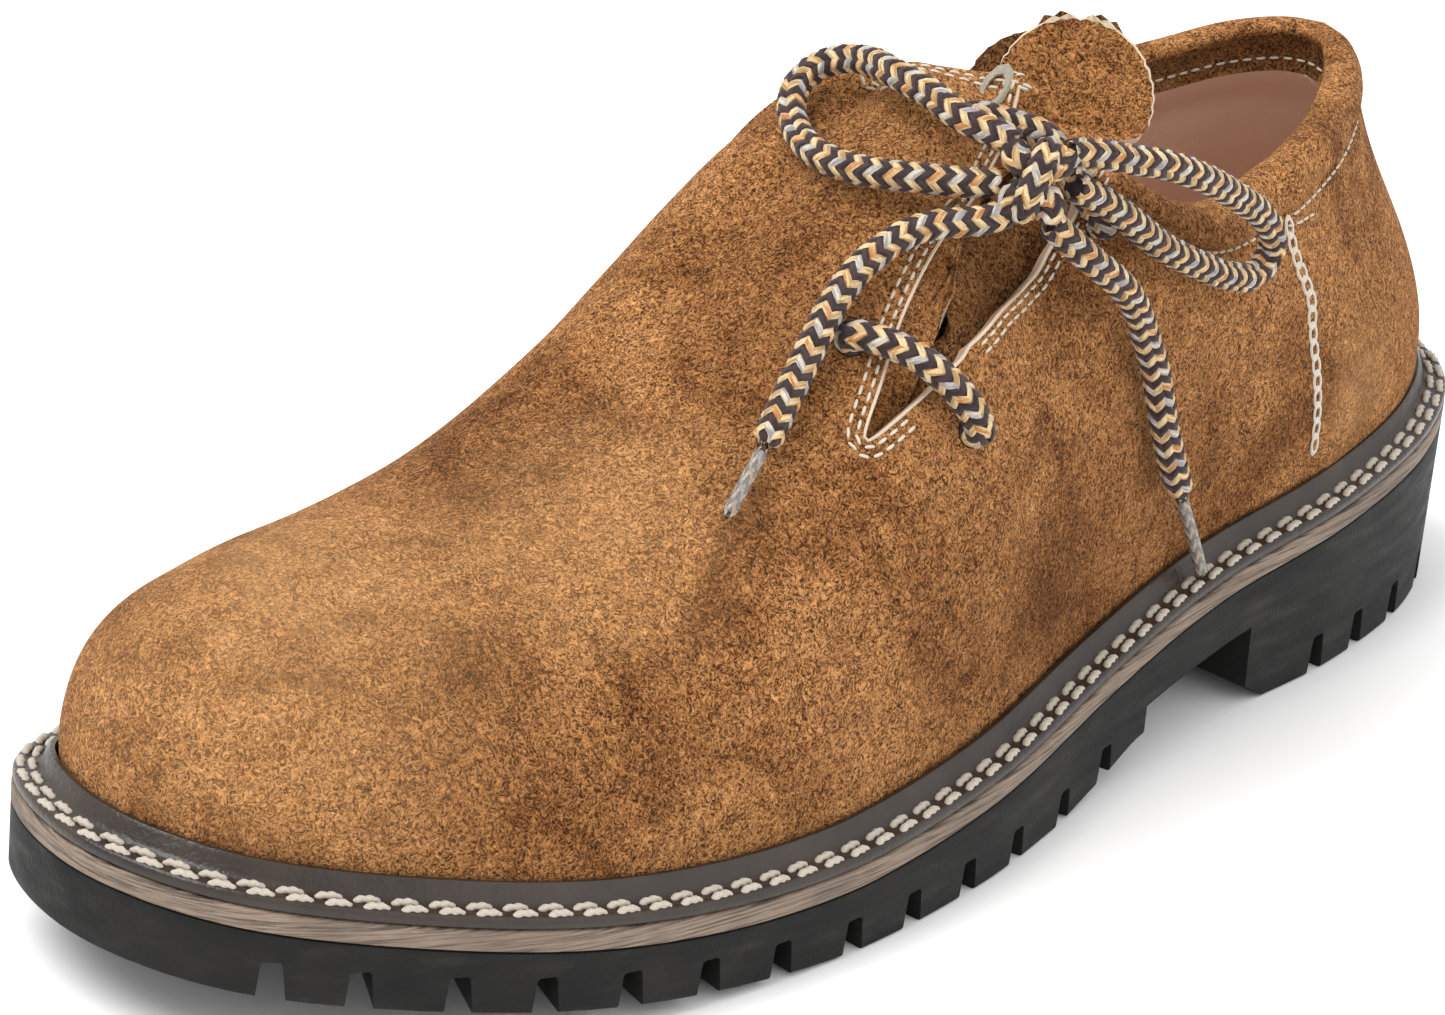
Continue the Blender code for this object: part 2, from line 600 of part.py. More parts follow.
def build_tongue(place):
    """The tongue lies under the vamp, leaves the throat and stands up in a round end."""
    across = np.linspace(*TONGUE_ACROSS, TONGUE_SPAN + 1)
    rows = [under_vamp(r, across) for r in np.linspace(0, 1, TONGUE_STEPS)]
    ahead = rows[-1] - rows[-2]
    ahead = ahead * (1, 1, 0.4)
    ahead /= np.linalg.norm(ahead, axis=1)[:, None]
    level = np.linspace(-1, 1, TONGUE_SPAN + 1)
    base, rise = lobe_row(-0.3, level)
    reach = np.linalg.norm(base - rows[-1], axis=1)[:, None]
    throat = rows[-1]
    for t in (0.25, 0.5, 0.75):
        start, leave = 2 * t**3 - 3 * t**2 + 1, t**3 - 2 * t**2 + t
        end, arrive = 3 * t**2 - 2 * t**3, t**3 - t**2
        rows.append(start * throat + leave * ahead * reach + end * base + arrive * rise * reach * 0.6)
    rows += [lobe_row(up, level)[0] for up in (-0.3, 0, 0.3, 0.55, 0.76, 0.9, 0.97)]
    faces = band_faces(len(rows), TONGUE_SPAN + 1, False)
    tongue = mesh_object("tongue", np.concatenate(rows), faces, TONGUE_SUEDE, place)
    wall = tongue.modifiers.new("wall", "SOLIDIFY")
    wall.thickness = TONGUE
    wall.offset = -1
    return smooth_shaded(tongue)


def build_facing(place):
    """The strip behind the gap's back edge, from the tongue's edge to below the quarter."""
    rows = []
    for r in np.linspace(0.42, 0.97, 9):
        share = np.linspace(0, 1, 5)
        around = 0.336 + 0.13 * r + 0.10 * r**2 + 0.075 * share
        height = 0.391 + 0.45 * r**3 - 0.10 * share
        depth = 0.0066 - 0.0038 * share**0.7
        rows.append(upper_points("out", around, height) - upper_normals("out", around, height) * depth[:, None])
    facing = mesh_object("facing", np.concatenate(rows), band_faces(9, 5, False), TONGUE_SUEDE, place)
    wall = facing.modifiers.new("wall", "SOLIDIFY")
    wall.thickness = FACING
    wall.offset = -1
    return smooth_shaded(facing)


def smooth_route(points, step=CORD_STEP):
    """Evenly spaced points of a smooth curve through the route's own points."""
    points = np.array(points, float)
    arc = np.concatenate([[0], np.cumsum(np.linalg.norm(np.diff(points, axis=0), axis=1))])
    count = max(3, int(round(arc[-1] / step)) + 1)
    at = np.linspace(0, arc[-1], count)
    return np.stack([smooth(arc, points[:, k], at) for k in range(3)], axis=1)


def tube(name, points, thick, look, place):
    curve = bpy.data.curves.new(name, "CURVE")
    curve.dimensions = "3D"
    curve.bevel_depth = thick / 2
    curve.bevel_resolution = 2
    curve.use_fill_caps = True
    spline = curve.splines.new("POLY")
    spline.points.add(len(points) - 1)
    for point, place_at in zip(spline.points, points):
        point.co = (*map(float, place_at), 1)
    curve.materials.append(material(name, look))
    obj = bpy.data.objects.new(name, curve)
    place.objects.link(obj)
    return obj


def build_bar(name, front, back, place):
    """A crossing of the lace over the gap, from eyelet to eyelet."""
    share = np.array([0, 0, 0.12, 0.3, 0.5, 0.7, 0.88, 1, 1])
    lift = np.array([0.0008, 0.0024, BAR_LIFT, 1.2 * BAR_LIFT, 1.3 * BAR_LIFT, 1.2 * BAR_LIFT, BAR_LIFT, 0.0024, 0.0008])
    (around, height), (far_around, far_height) = EYELETS[front], EYELETS[back]
    at = around + (far_around - around) * share, height + (far_height - height) * share
    route = upper_points("out", *at) + upper_normals("out", *at) * lift[:, None]
    return tube(name, smooth_route(route, LACE * 0.6), LACE, LACE_BRAID, place)


def build_knot(place):
    bm = bmesh.new()
    bmesh.ops.create_uvsphere(bm, u_segments=16, v_segments=10, radius=0.5, matrix=Matrix.Diagonal((*KNOT, 1)))
    mesh = bpy.data.meshes.new("lace_knot")
    bm.to_mesh(mesh)
    bm.free()
    mesh.materials.append(material("lace_knot", LACE_BRAID))
    knot = bpy.data.objects.new("lace_knot", mesh)
    knot.location = [value / 1000 for value in KNOT_AT]
    place.objects.link(knot)
    return smooth_shaded(knot)


def build_laces(place):
    build_bar("lace_bar_low", "low_front", "low_back", place)
    build_bar("lace_bar_top", "top_front", "top_back", place)
    build_knot(place)
    for name, route, thick, look in (
        ("lace_loop_front", LOOP_FRONT, LACE, LACE_BRAID),
        ("lace_loop_back", LOOP_BACK, LACE, LACE_BRAID),
        ("lace_end_front", END_FRONT, LACE, LACE_BRAID),
        ("lace_end_back", END_BACK, LACE, LACE_BRAID),
        ("aglet_front", AGLET_FRONT, AGLET, CLEAR_TIP),
        ("aglet_back", AGLET_BACK, AGLET, CLEAR_TIP),
    ):
        tube(name, smooth_route(np.array(route) / 1000), thick, look, place)


def main():
    for obj in list(bpy.data.objects):
        bpy.data.objects.remove(obj)
    shoe, cutters = collection("haferl_shoe"), collection("cutters")
    build_outsole(shoe, cutters)
    layer("midsole", 0, lambda y: rubber_z(y) + GAP, midsole_z, WOOD_LAYER, shoe)
    build_welt(shoe)
    layer(
        "insole", FEATHER + WALL + 2 * GAP, lambda y: midsole_z(y) + GAP,
        lambda y: midsole_z(y) + GAP + INSOLE, LINING, shoe,
    )
    build_upper(shoe, cutters)
    build_tongue(shoe)
    build_facing(shoe)
    build_laces(shoe)


main()
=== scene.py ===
"""Haferl shoe for the left foot, dressed: tan suede laced at the outer side, on a welted lug sole.

The toe points along -Y, the outer side of the foot is +X and +Z is up. All sizes are in metres.
The form functions are those of the part's source, read here at a finer step.
"""

import logging
import math
from collections.abc import Callable, Sequence
from dataclasses import dataclass
from enum import Enum

import bpy
import numpy as np
from mathutils import Matrix, Vector, noise
from mathutils.bvhtree import BVHTree


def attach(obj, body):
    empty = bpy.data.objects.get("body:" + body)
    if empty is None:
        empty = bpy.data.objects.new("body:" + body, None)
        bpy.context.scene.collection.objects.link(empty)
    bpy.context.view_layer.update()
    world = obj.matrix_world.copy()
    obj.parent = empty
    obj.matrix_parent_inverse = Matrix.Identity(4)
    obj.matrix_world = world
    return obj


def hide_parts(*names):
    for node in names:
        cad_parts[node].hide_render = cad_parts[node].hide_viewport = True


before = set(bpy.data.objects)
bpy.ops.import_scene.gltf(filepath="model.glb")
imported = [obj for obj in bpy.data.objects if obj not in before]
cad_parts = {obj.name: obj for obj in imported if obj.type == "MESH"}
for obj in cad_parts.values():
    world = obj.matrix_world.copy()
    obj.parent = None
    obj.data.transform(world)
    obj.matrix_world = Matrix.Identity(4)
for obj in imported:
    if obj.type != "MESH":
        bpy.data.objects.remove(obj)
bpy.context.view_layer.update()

LOG = logging.getLogger("haferl_shoe")
Colour = tuple[float, float, float]
Height = Callable[[np.ndarray], np.ndarray]

# Sizes shared with the solids
LENGTH, BALL_WIDTH = 0.305, 0.106
FORE_RUBBER, HEEL_RUBBER, TOE_SPRING = 0.0105, 0.0326, 0.0118
MIDSOLE, WELT, LIP_RISE, FEATHER = 0.0036, 0.0022, 0.0053, 0.0068
WALL, COLLAR, INSTEP_RISE, COUNTER_STEP = 0.0020, 0.0055, 0.0875, 0.0008
TONGUE_ROOM, TONGUE_DIP, LOBE, FACING = 0.0013, 0.0047, 0.0125, 0.0012
LACE, AGLET, EYELET = 0.0045, 0.0022, 0.0052
GROOVE, GROOVE_DEPTH, GROOVE_REACH, WAIST_RUBBER = 0.0062, 0.0060, 0.0200, 0.0088
GAP = 0.0003
# The photograph's viewing angle, in degrees
VIEW_AZIMUTH, VIEW_ELEVATION = 39.76, 24.07


class Table:
    """Rows of shares under named columns, read smoothly along the first column."""

    def __init__(self, names: str, *rows: Sequence[float]) -> None:
        """Keeps the column names and the rows."""
        self.names = names.split()
        self.rows = np.array(rows, float)

    def read(self, name: str, at: np.ndarray | float) -> np.ndarray:
        """Returns the named column at the given places of the first."""
        return smooth(self.rows[:, 0], self.rows[:, self.names.index(name)], at)


def smooth(knots: np.ndarray, values: np.ndarray, at: np.ndarray | float) -> np.ndarray:
    """A cubic through the values, with each slope taken from its two neighbours.

    Args:
        knots: Where the values stand, rising.
        values: The values there.
        at: Where to read.

    Returns:
        The curve's values.
    """
    at = np.clip(at, knots[0], knots[-1])
    width = np.diff(knots)
    rise = np.diff(values) / width
    share = width[1:] / (width[1:] + width[:-1])
    slope = np.concatenate([rise[:1], rise[:-1] * share + rise[1:] * (1 - share), rise[-1:]])
    i = np.clip(np.searchsorted(knots, at, side="right") - 1, 0, len(width) - 1)
    t = (at - knots[i]) / width[i]
    start = (2 * t**3 - 3 * t**2 + 1) * values[i] + (t**3 - 2 * t**2 + t) * width[i] * slope[i]
    end = (3 * t**2 - 2 * t**3) * values[i + 1] + (t**3 - t**2) * width[i] * slope[i + 1]
    return start + end


# Sole outline, anticlockwise from the toe tip: across in ball widths, along in lengths
OUTLINE = Table(
    "turn across along",
    (0, -0.101, 0.000), (1, 0.127, 0.022), (2, 0.298, 0.092), (3, 0.431, 0.189),
    (4, 0.496, 0.318), (5, 0.485, 0.446), (6, 0.412, 0.577), (7, 0.368, 0.695),
    (8, 0.359, 0.811), (9, 0.299, 0.917), (10, 0.181, 0.982), (11, -0.013, 1.000),
    (12, -0.216, 0.979), (13, -0.352, 0.909), (14, -0.391, 0.809), (15, -0.380, 0.684),
    (16, -0.375, 0.558), (17, -0.423, 0.429), (18, -0.487, 0.300), (19, -0.493, 0.188),
    (20, -0.426, 0.093), (21, -0.327, 0.029),
)
# Rubber from tread to midsole, as a share of the way from its fore to its heel thickness
RUBBER = Table(
    "along lift",
    (0, 0), (0.30, 0), (0.42, 0.104), (0.54, 0.267), (0.66, 0.498), (0.78, 0.670), (0.90, 0.828), (1, 1),
)
# Tread above the floor, in toe springs
SPRING = Table(
    "along lift",
    (0, 1), (0.10, 0.60), (0.20, 0.27), (0.30, 0.05), (0.34, 0), (0.53, 0), (0.575, 0.20), (0.62, 0.50),
    (0.66, 0.40), (0.70, 0), (1, 0),
)
# Where the arch begins and the heel's front stands, in lengths
ARCH_START, HEEL_FRONT, HEEL_CHAMFER = 0.622, 0.725, 0.022
CHAMFER_RISE = 0.0035           # height of the heel's chamfer, in metres
# Grooves down the side of the tread, in lengths along the sole
FORE_GROOVES = (0.038, 0.071, 0.112, 0.152, 0.195, 0.240, 0.287, 0.336, 0.382, 0.431, 0.480, 0.532, 0.577)
HEEL_GROOVES = (0.795, 0.842, 0.892, 0.943)
# Ridge of the vamp: across in ball widths, height above the feather in instep rises
RIDGE = Table(
    "along across height",
    (0.10, -0.095, 0.390), (0.16, -0.105, 0.430), (0.24, -0.105, 0.486), (0.32, -0.100, 0.584),
    (0.40, -0.090, 0.735), (0.48, -0.075, 0.902), (0.55, -0.060, 1.005), (0.62, -0.045, 1.050),
)
TOE_TOP, THROAT = 0.13, 0.533   # ends of the ridge, in lengths
TOE_EASE = 0.020                # over which the toe's sections turn to face forwards
# Top edge from the throat round to the back of the heel, on the outer and the inner side of the foot
TOPLINE = Table(
    "around out_across out_along out_height in_across in_along in_height",
    (0.00, -0.065, 0.533, 1.000, -0.065, 0.533, 1.000),
    (0.05, -0.031, 0.541, 1.023, -0.113, 0.537, 0.981),
    (0.09, 0.005, 0.553, 1.012, -0.148, 0.541, 0.962),
    (0.13, 0.052, 0.566, 1.004, -0.180, 0.549, 0.931),
    (0.165, 0.108, 0.574, 1.008, -0.210, 0.560, 0.900),
    (0.20, 0.170, 0.572, 0.970, -0.232, 0.573, 0.866),
    (0.24, 0.230, 0.579, 0.905, -0.251, 0.589, 0.820),
    (0.31, 0.273, 0.608, 0.819, -0.275, 0.618, 0.758),
    (0.40, 0.287, 0.651, 0.717, -0.284, 0.657, 0.700),
    (0.47, 0.277, 0.690, 0.661, -0.284, 0.693, 0.672),
    (0.54, 0.263, 0.730, 0.655, -0.279, 0.733, 0.658),
    (0.64, 0.226, 0.785, 0.661, -0.258, 0.787, 0.652),
    (0.75, 0.172, 0.840, 0.670, -0.218, 0.840, 0.661),
    (0.86, 0.100, 0.884, 0.682, -0.148, 0.886, 0.682),
    (0.94, 0.040, 0.906, 0.690, -0.080, 0.908, 0.690),
    (1.00, -0.018, 0.914, 0.692, -0.018, 0.914, 0.692),
)
JOIN = 0.46   # way round the feather at which the sections reach the throat
# Wall sections from the toe tip (0) to the back of the heel (1): how far each climbs before it turns
# in, how far it swells out in feather insets, how flat it is under the ridge, and how upright it ends
WALLS = Table(
    "around out_climb out_swell out_flat in_climb in_swell in_flat upright",
    (0.00, 0.68, 0.15, 0.70, 0.68, 0.15, 0.70, 0),
    (0.15, 0.60, 0.15, 0.60, 0.63, 0.30, 0.54, 0),
    (0.35, 0.58, 0.29, 0.55, 0.52, 0.14, 0.50, 0),
    (0.50, 0.55, 0.29, 0.50, 0.59, 0.31, 0.56, 0),
    (0.62, 0.45, 0.29, 0.40, 0.46, 0.31, 0.41, 0.5),
    (0.75, 0.40, 0.22, 0.35, 0.40, 0.22, 0.35, 1),
    (0.90, 0.38, 0.18, 0.35, 0.38, 0.18, 0.35, 1),
    (1.00, 0.38, 0.18, 0.35, 0.38, 0.18, 0.35, 1),
)
UPRIGHT_SWELL = 0.45            # swell below an upright top edge, in feather insets
COUNTER_FROM = 0.776            # way round the feather at which the counter starts
PAD_FROM, PAD_DEPTH = 0.60, 0.72   # the collar's padding: way round, and height up the wall
# Side lacing gap on the outer side: way round the feather and height up the wall
GAP_EDGE = Table(
    "step around height",
    (0, 0.550, 1.000), (1, 0.530, 0.815), (2, 0.507, 0.715), (3, 0.482, 0.652), (4, 0.455, 0.637),
    (5, 0.431, 0.598), (6, 0.413, 0.543), (7, 0.400, 0.488), (8, 0.441, 0.465), (9, 0.475, 0.470),
    (10, 0.495, 0.491), (11, 0.517, 0.522), (12, 0.536, 0.565), (13, 0.569, 0.698), (14, 0.598, 1.000),
)
GAP_CUT = 0.020                 # reach of the cut beyond the top edge and through the wall
# Eyelets: way round the feather and height up the wall
EYELETS = {
    "low_front": (0.404, 0.635), "low_back": (0.458, 0.370),
    "top_front": (0.497, 0.800), "top_back": (0.590, 0.770),
}
BAR_LIFT = 0.0032               # how far a crossing stands off the upper beside its eyelets
# Lace routes, in millimetres
KNOT_AT = (30.7, 3.0, 107.9)
LOOP_FRONT = (
    (26.8, 2.4, 112.7), (23.0, 1.0, 114.0), (18.5, -0.3, 114.8), (11.0, 0.5, 116.3), (2.5, 1.5, 117.0),
    (-7.5, 4.0, 116.0), (-12.8, 1.5, 114.0), (-13.2, -4.0, 110.6), (-8.5, -8.5, 107.0), (-0.5, -12.0, 105.6),
    (6.5, -12.2, 105.6), (13.0, -10.8, 106.2), (18.8, -7.4, 106.6), (22.6, -3.6, 106.4), (25.9, 0.4, 106.5),
)
LOOP_BACK = (
    (33.4, 7.3, 112.3), (34.8, 12.8, 111.4), (36.2, 19.0, 109.6), (37.6, 27.0, 107.4), (38.4, 35.5, 103.9),
    (37.8, 47.5, 97.6), (36.8, 58.0, 90.8), (36.0, 62.6, 85.0), (35.8, 60.0, 81.0), (36.2, 52.0, 82.2),
    (36.2, 41.0, 87.0), (35.8, 31.0, 92.4), (35.9, 22.0, 98.6), (35.5, 14.2, 103.6), (34.8, 7.7, 107.0),
)
END_FRONT = (
    (29.0, -0.4, 102.8), (26.8, -4.4, 101.6), (24.0, -8.4, 101.2), (21.6, -12.4, 100.6), (20.1, -17.0, 98.9),
    (19.2, -21.6, 96.6), (19.2, -26.0, 94.0), (19.8, -30.5, 90.6), (20.8, -35.0, 86.4), (21.6, -39.4, 81.6),
    (22.8, -43.8, 77.8), (24.2, -48.2, 74.2),
)
AGLET_FRONT = ((24.3, -48.5, 73.9), (25.6, -53.6, 70.1), (27.0, -58.8, 66.4))
END_BACK = (
    (34.4, 3.0, 102.0), (36.2, 6.9, 98.4), (37.6, 12.0, 94.2), (38.3, 17.8, 89.8), (37.8, 23.6, 84.4),
    (37.4, 28.0, 78.0), (37.7, 32.0, 70.6), (38.2, 34.6, 62.6), (38.6, 38.0, 54.6), (38.4, 42.4, 46.8),
)
AGLET_BACK = ((38.4, 42.6, 46.4), (38.2, 47.7, 37.8), (37.9, 52.6, 29.2))
TONGUE_ACROSS = (-0.42, 1)      # the tongue's part of the way over the vamp, from the inner side
# The tongue's round end, in metres: its centre, and its ways across and up
LOBE_AT, LOBE_ACROSS, LOBE_RISE = (0.0146, 0.0320, 0.1103), (0.80, 0.60, 0.02), (-0.05, 0.30, 0.95)


def dense_outline() -> tuple[np.ndarray, np.ndarray]:
    """Returns the sole's edge as many points, anticlockwise, and the directions that point out of it."""
    turns = len(OUTLINE.rows)
    wrapped = np.vstack([OUTLINE.rows[-2:], OUTLINE.rows, OUTLINE.rows[:3]])
    knots = np.arange(-2.0, turns + 3)
    at = np.linspace(0, turns, 60 * turns, endpoint=False)
    points = np.stack([smooth(knots, wrapped[:, 1], at), smooth(knots, wrapped[:, 2], at)], axis=1)
    points -= (points.max(axis=0) + points.min(axis=0)) / 2
    points *= (BALL_WIDTH, LENGTH) / np.ptp(points, axis=0)
    ahead = np.roll(points, -1, axis=0) - np.roll(points, 1, axis=0)
    ahead /= np.linalg.norm(ahead, axis=1)[:, None]
    return points, np.stack([ahead[:, 1], -ahead[:, 0]], axis=1)


EDGE, EDGE_OUT = dense_outline()


def sole_side(side: str, inset: float, around: np.ndarray) -> tuple[np.ndarray, np.ndarray]:
    """Reads one side of the sole's edge.

    Args:
        side: "out" or "in".
        inset: Distance inside the edge.
        around: From the toe tip (0) to the back of the heel (1).

    Returns:
        The points, and the ways out of the edge.
    """
    tip, back = EDGE[:, 1].argmin(), EDGE[:, 1].argmax()
    step = 1 if side == "out" else -1
    run = (tip + step * np.arange((step * (back - tip)) % len(EDGE) + 1)) % len(EDGE)
    arc = np.concatenate([[0], np.cumsum(np.linalg.norm(np.diff(EDGE[run], axis=0), axis=1))])
    at = np.asarray(around) * arc[-1]
    columns = np.hstack([EDGE[run] - EDGE_OUT[run] * inset, EDGE_OUT[run]])
    read = np.stack([np.interp(at, arc, column) for column in columns.T], axis=1)
    return read[:, :2], read[:, 2:]


def along(y: np.ndarray) -> np.ndarray:
    """Returns the share of the length at y."""
    return y / LENGTH + 0.5


def at_share(share: float) -> float:
    """Returns y at a share of the length."""
    return (share - 0.5) * LENGTH


def tread_z(y: np.ndarray) -> np.ndarray:
    """Returns the height of the tread."""
    return TOE_SPRING * np.maximum(SPRING.read("lift", along(y)), 0)


def rubber_z(y: np.ndarray) -> np.ndarray:
    """Returns the top of the outsole, whose spring ends at the ball."""
    spring = np.where(along(y) < 0.4, tread_z(y), 0)
    return spring + FORE_RUBBER + (HEEL_RUBBER - FORE_RUBBER) * RUBBER.read("lift", along(y))


def midsole_z(y: np.ndarray) -> np.ndarray:
    """Returns the top of the midsole."""
    return rubber_z(y) + MIDSOLE


def feather_z(y: np.ndarray) -> np.ndarray:
    """Returns the height at which the upper leaves the welt."""
    return midsole_z(y) + LIP_RISE


def vamp_ridge(around: np.ndarray) -> np.ndarray:
    """Finds the ridge, shared by both sides, on which the sections from the toe to the throat end.

    Args:
        around: From the toe tip (0) to the back of the heel (1).

    Returns:
        The ridge's points.
    """
    def section_y(at: np.ndarray) -> tuple[np.ndarray, np.ndarray]:
        """Returns y of a section at its foot and at the ridge."""
        y = sum(sole_side(side, FEATHER, at)[0][:, 1] for side in ("out", "in")) / 2
        start = at_share(TOE_TOP)
        return y, (y + start + np.sqrt((y - start) ** 2 + TOE_EASE**2)) / 2

    y, ridge_y = section_y(around)
    join, ridge_join = section_y([JOIN])
    share = np.clip((y - at_share(TOE_TOP)) / (join - at_share(TOE_TOP)), 0, 1)
    ridge_y = ridge_y + (at_share(THROAT) - ridge_join) * share
    across = BALL_WIDTH * RIDGE.read("across", along(ridge_y))
    rise = INSTEP_RISE * RIDGE.read("height", along(ridge_y))
    return np.stack([across, ridge_y, feather_z(ridge_y) + rise], axis=1)


def top_edge(side: str, around: np.ndarray) -> np.ndarray:
    """Finds the upper edge of each section: the ridge and, behind the throat, the top line.

    Args:
        side: "out" or "in".
        around: From the toe tip (0) to the back of the heel (1).

    Returns:
        The edge's points.
    """
    rear = np.clip((around - JOIN) / (1 - JOIN), 0, 1)
    y = at_share(TOPLINE.read(side + "_along", rear))
    across = BALL_WIDTH * TOPLINE.read(side + "_across", rear)
    edge = np.stack([across, y, feather_z(y) + INSTEP_RISE * TOPLINE.read(side + "_height", rear)], axis=1)
    return np.where((around <= JOIN + 1e-9)[:, None], vamp_ridge(around), edge)


def upper_points(side: str, around: np.ndarray, height: np.ndarray) -> np.ndarray:
    """Finds points of the upper's outer face.

    Args:
        side: "out" or "in".
        around: 0 to 1 from toe to heel.
        height: 0 to 1 from the feather to the top.

    Returns:
        The points, in the shape of the shares.
    """
    around, height = np.broadcast_arrays(np.asarray(around, float), np.asarray(height, float))
    way, up = around.ravel(), height.ravel()[:, None]
    plan, out = sole_side(side, FEATHER, way)
    foot = np.column_stack([plan, feather_z(plan[:, 1])])
    out = np.column_stack([out, np.zeros(len(way))])
    top = top_edge(side, way)
    climb, swell, flat, upright = (
        WALLS.read(name, way)[:, None] for name in (side + "_climb", side + "_swell", side + "_flat", "upright")
    )
    span = top - foot
    rise = span * (0, 0, 1)
    lower = foot + rise * climb + out * swell * FEATHER
    level = (span - rise) * (1 - upright) + rise * upright
    upper = top - level * flat + out * upright * UPRIGHT_SWELL * FEATHER
    face = (1 - up) ** 3 * foot + 3 * (1 - up) ** 2 * up * lower + 3 * (1 - up) * up**2 * upper + up**3 * top
    return face.reshape(around.shape + (3,))


def upper_normals(side: str, around: np.ndarray, height: np.ndarray) -> np.ndarray:
    """Finds the directions out of the upper's outer face.

    Args:
        side: "out" or "in".
        around: 0 to 1 from toe to heel.
        height: 0 to 1 from the feather to the top.

    Returns:
        The directions, of length 1.
    """
    small = 0.004
    ahead = upper_points(side, around + small, height) - upper_points(side, around - small, height)
    climb = upper_points(side, around, height + small) - upper_points(side, around, height - small)
    out = np.cross(ahead, climb) if side == "out" else np.cross(climb, ahead)
    return out / np.linalg.norm(out, axis=-1, keepdims=True)


def under_vamp(r: float, across: np.ndarray) -> np.ndarray:
    """Finds a row of points below the vamp and the lacing gap.

    Args:
        r: 0 to 1 towards the throat.
        across: -1 to 1 from the inner side.

    Returns:
        The row's points.
    """
    outer = across > 0
    around = 0.33 + 0.13 * r + np.abs(across) * r**2 * np.where(outer, 0.10, 0.03)
    height = 0.995 - np.abs(across) * np.where(outer, 0.60 - 0.45 * r**3, 0.34 - 0.14 * r)
    row = []
    for side in ("in", "out"):
        chosen = outer == (side == "out")
        room = TONGUE_ROOM * (1 + r * (1.45 + 0.2 * np.abs(across[chosen])))[:, None]
        room += TONGUE_DIP * r**2 * np.clip(0.25 - across[chosen], 0, 1)[:, None]
        at = around[chosen], height[chosen]
        row.append(upper_points(side, *at) - upper_normals(side, *at) * (WALL + room))
    return np.concatenate(row)


def lobe_row(up: float, span: np.ndarray) -> tuple[np.ndarray, np.ndarray]:
    """Finds a chord of the tongue's round end.

    Args:
        up: Its height, as a share of the radius.
        span: Places along it, from -1 to 1.

    Returns:
        The chord's points, and the way up.
    """
    centre, across, rise = (np.array(values) for values in (LOBE_AT, LOBE_ACROSS, LOBE_RISE))
    across = across / np.linalg.norm(across)
    rise = rise - across * (rise @ across)
    rise /= np.linalg.norm(rise)
    reach = math.sqrt(1 - up**2) * span[:, None]
    return centre + LOBE * (rise * up + across * reach), rise


def deselect() -> None:
    """Leaves edit mode and selects nothing."""
    if bpy.context.object and bpy.context.mode != "OBJECT":
        bpy.ops.object.mode_set(mode="OBJECT")
    bpy.ops.object.select_all(action="DESELECT")


def make_active(piece: bpy.types.Object) -> None:
    """Selects one piece alone."""
    deselect()
    piece.select_set(True)
    bpy.context.view_layer.objects.active = piece


def grid_piece(name: str, points: np.ndarray) -> bpy.types.Object:
    """Adds a grid and moves its points into place.

    Args:
        name: The piece's name.
        points: The places, by row and column.

    Returns:
        The new piece, with a UV map that runs 0 to 1 both ways.
    """
    rows, columns = points.shape[:2]
    deselect()
    bpy.ops.mesh.primitive_grid_add(
        x_subdivisions=columns - 1, y_subdivisions=rows - 1, size=1, location=(0, 0, 0)
    )
    piece = bpy.context.object
    piece.name = piece.data.name = name
    assert len(piece.data.vertices) == rows * columns
    piece.data.vertices.foreach_set("co", np.asarray(points, np.float32).ravel())
    piece.data.update()
    return piece


def face_rows(piece: bpy.types.Object, columns: int) -> tuple[np.ndarray, np.ndarray]:
    """Finds where each face of a new grid lies.

    Args:
        piece: The grid.
        columns: Its points in a row.

    Returns:
        The faces' rows and columns.
    """
    corner = np.empty(len(piece.data.loops), np.int32)
    piece.data.loops.foreach_get("vertex_index", corner)
    return np.divmod(corner.reshape(-1, 4).min(axis=1), columns)


def drop_faces(piece: bpy.types.Object, gone: np.ndarray) -> None:
    """Deletes faces.

    Args:
        piece: The piece.
        gone: True for each face to delete.
    """
    make_active(piece)
    bpy.context.tool_settings.mesh_select_mode = (False, False, True)
    for kind in (piece.data.vertices, piece.data.edges):
        kind.foreach_set("select", np.zeros(len(kind), bool))
    piece.data.polygons.foreach_set("select", gone)
    bpy.ops.object.mode_set(mode="EDIT")
    bpy.ops.mesh.delete(type="FACE")
    bpy.ops.object.mode_set(mode="OBJECT")


def close_up(piece: bpy.types.Object, merge: float = 2e-5) -> bpy.types.Object:
    """Merges doubled points and turns the faces outwards.

    Args:
        piece: The piece.
        merge: The distance within which points are merged.

    Returns:
        The piece.
    """
    make_active(piece)
    bpy.ops.object.mode_set(mode="EDIT")
    bpy.ops.mesh.select_all(action="SELECT")
    bpy.ops.mesh.remove_doubles(threshold=merge)
    bpy.ops.mesh.normals_make_consistent(inside=False)
    bpy.ops.object.mode_set(mode="OBJECT")
    return piece


def capped(prism: bpy.types.Object, middle: Vector, way: Vector) -> bpy.types.Object:
    """Closes both ends of a prism that was made as a band.

    Args:
        prism: The band.
        middle: A point between its ends.
        way: The direction from end to end.

    Returns:
        The closed prism.
    """
    close_up(prism, 1e-6)
    mesh = prism.data
    bpy.context.tool_settings.mesh_select_mode = (False, True, False)
    for side in (-1, 1):
        for kind in (mesh.vertices, mesh.edges, mesh.polygons):
            kind.foreach_set("select", np.zeros(len(kind), bool))
        for edge in mesh.edges:
            edge.select = all((mesh.vertices[k].co - middle).dot(way) * side > 0 for k in edge.vertices)
        bpy.ops.object.mode_set(mode="EDIT")
        bpy.ops.mesh.edge_face_add()
        bpy.ops.object.mode_set(mode="OBJECT")
    return close_up(prism, 1e-6)


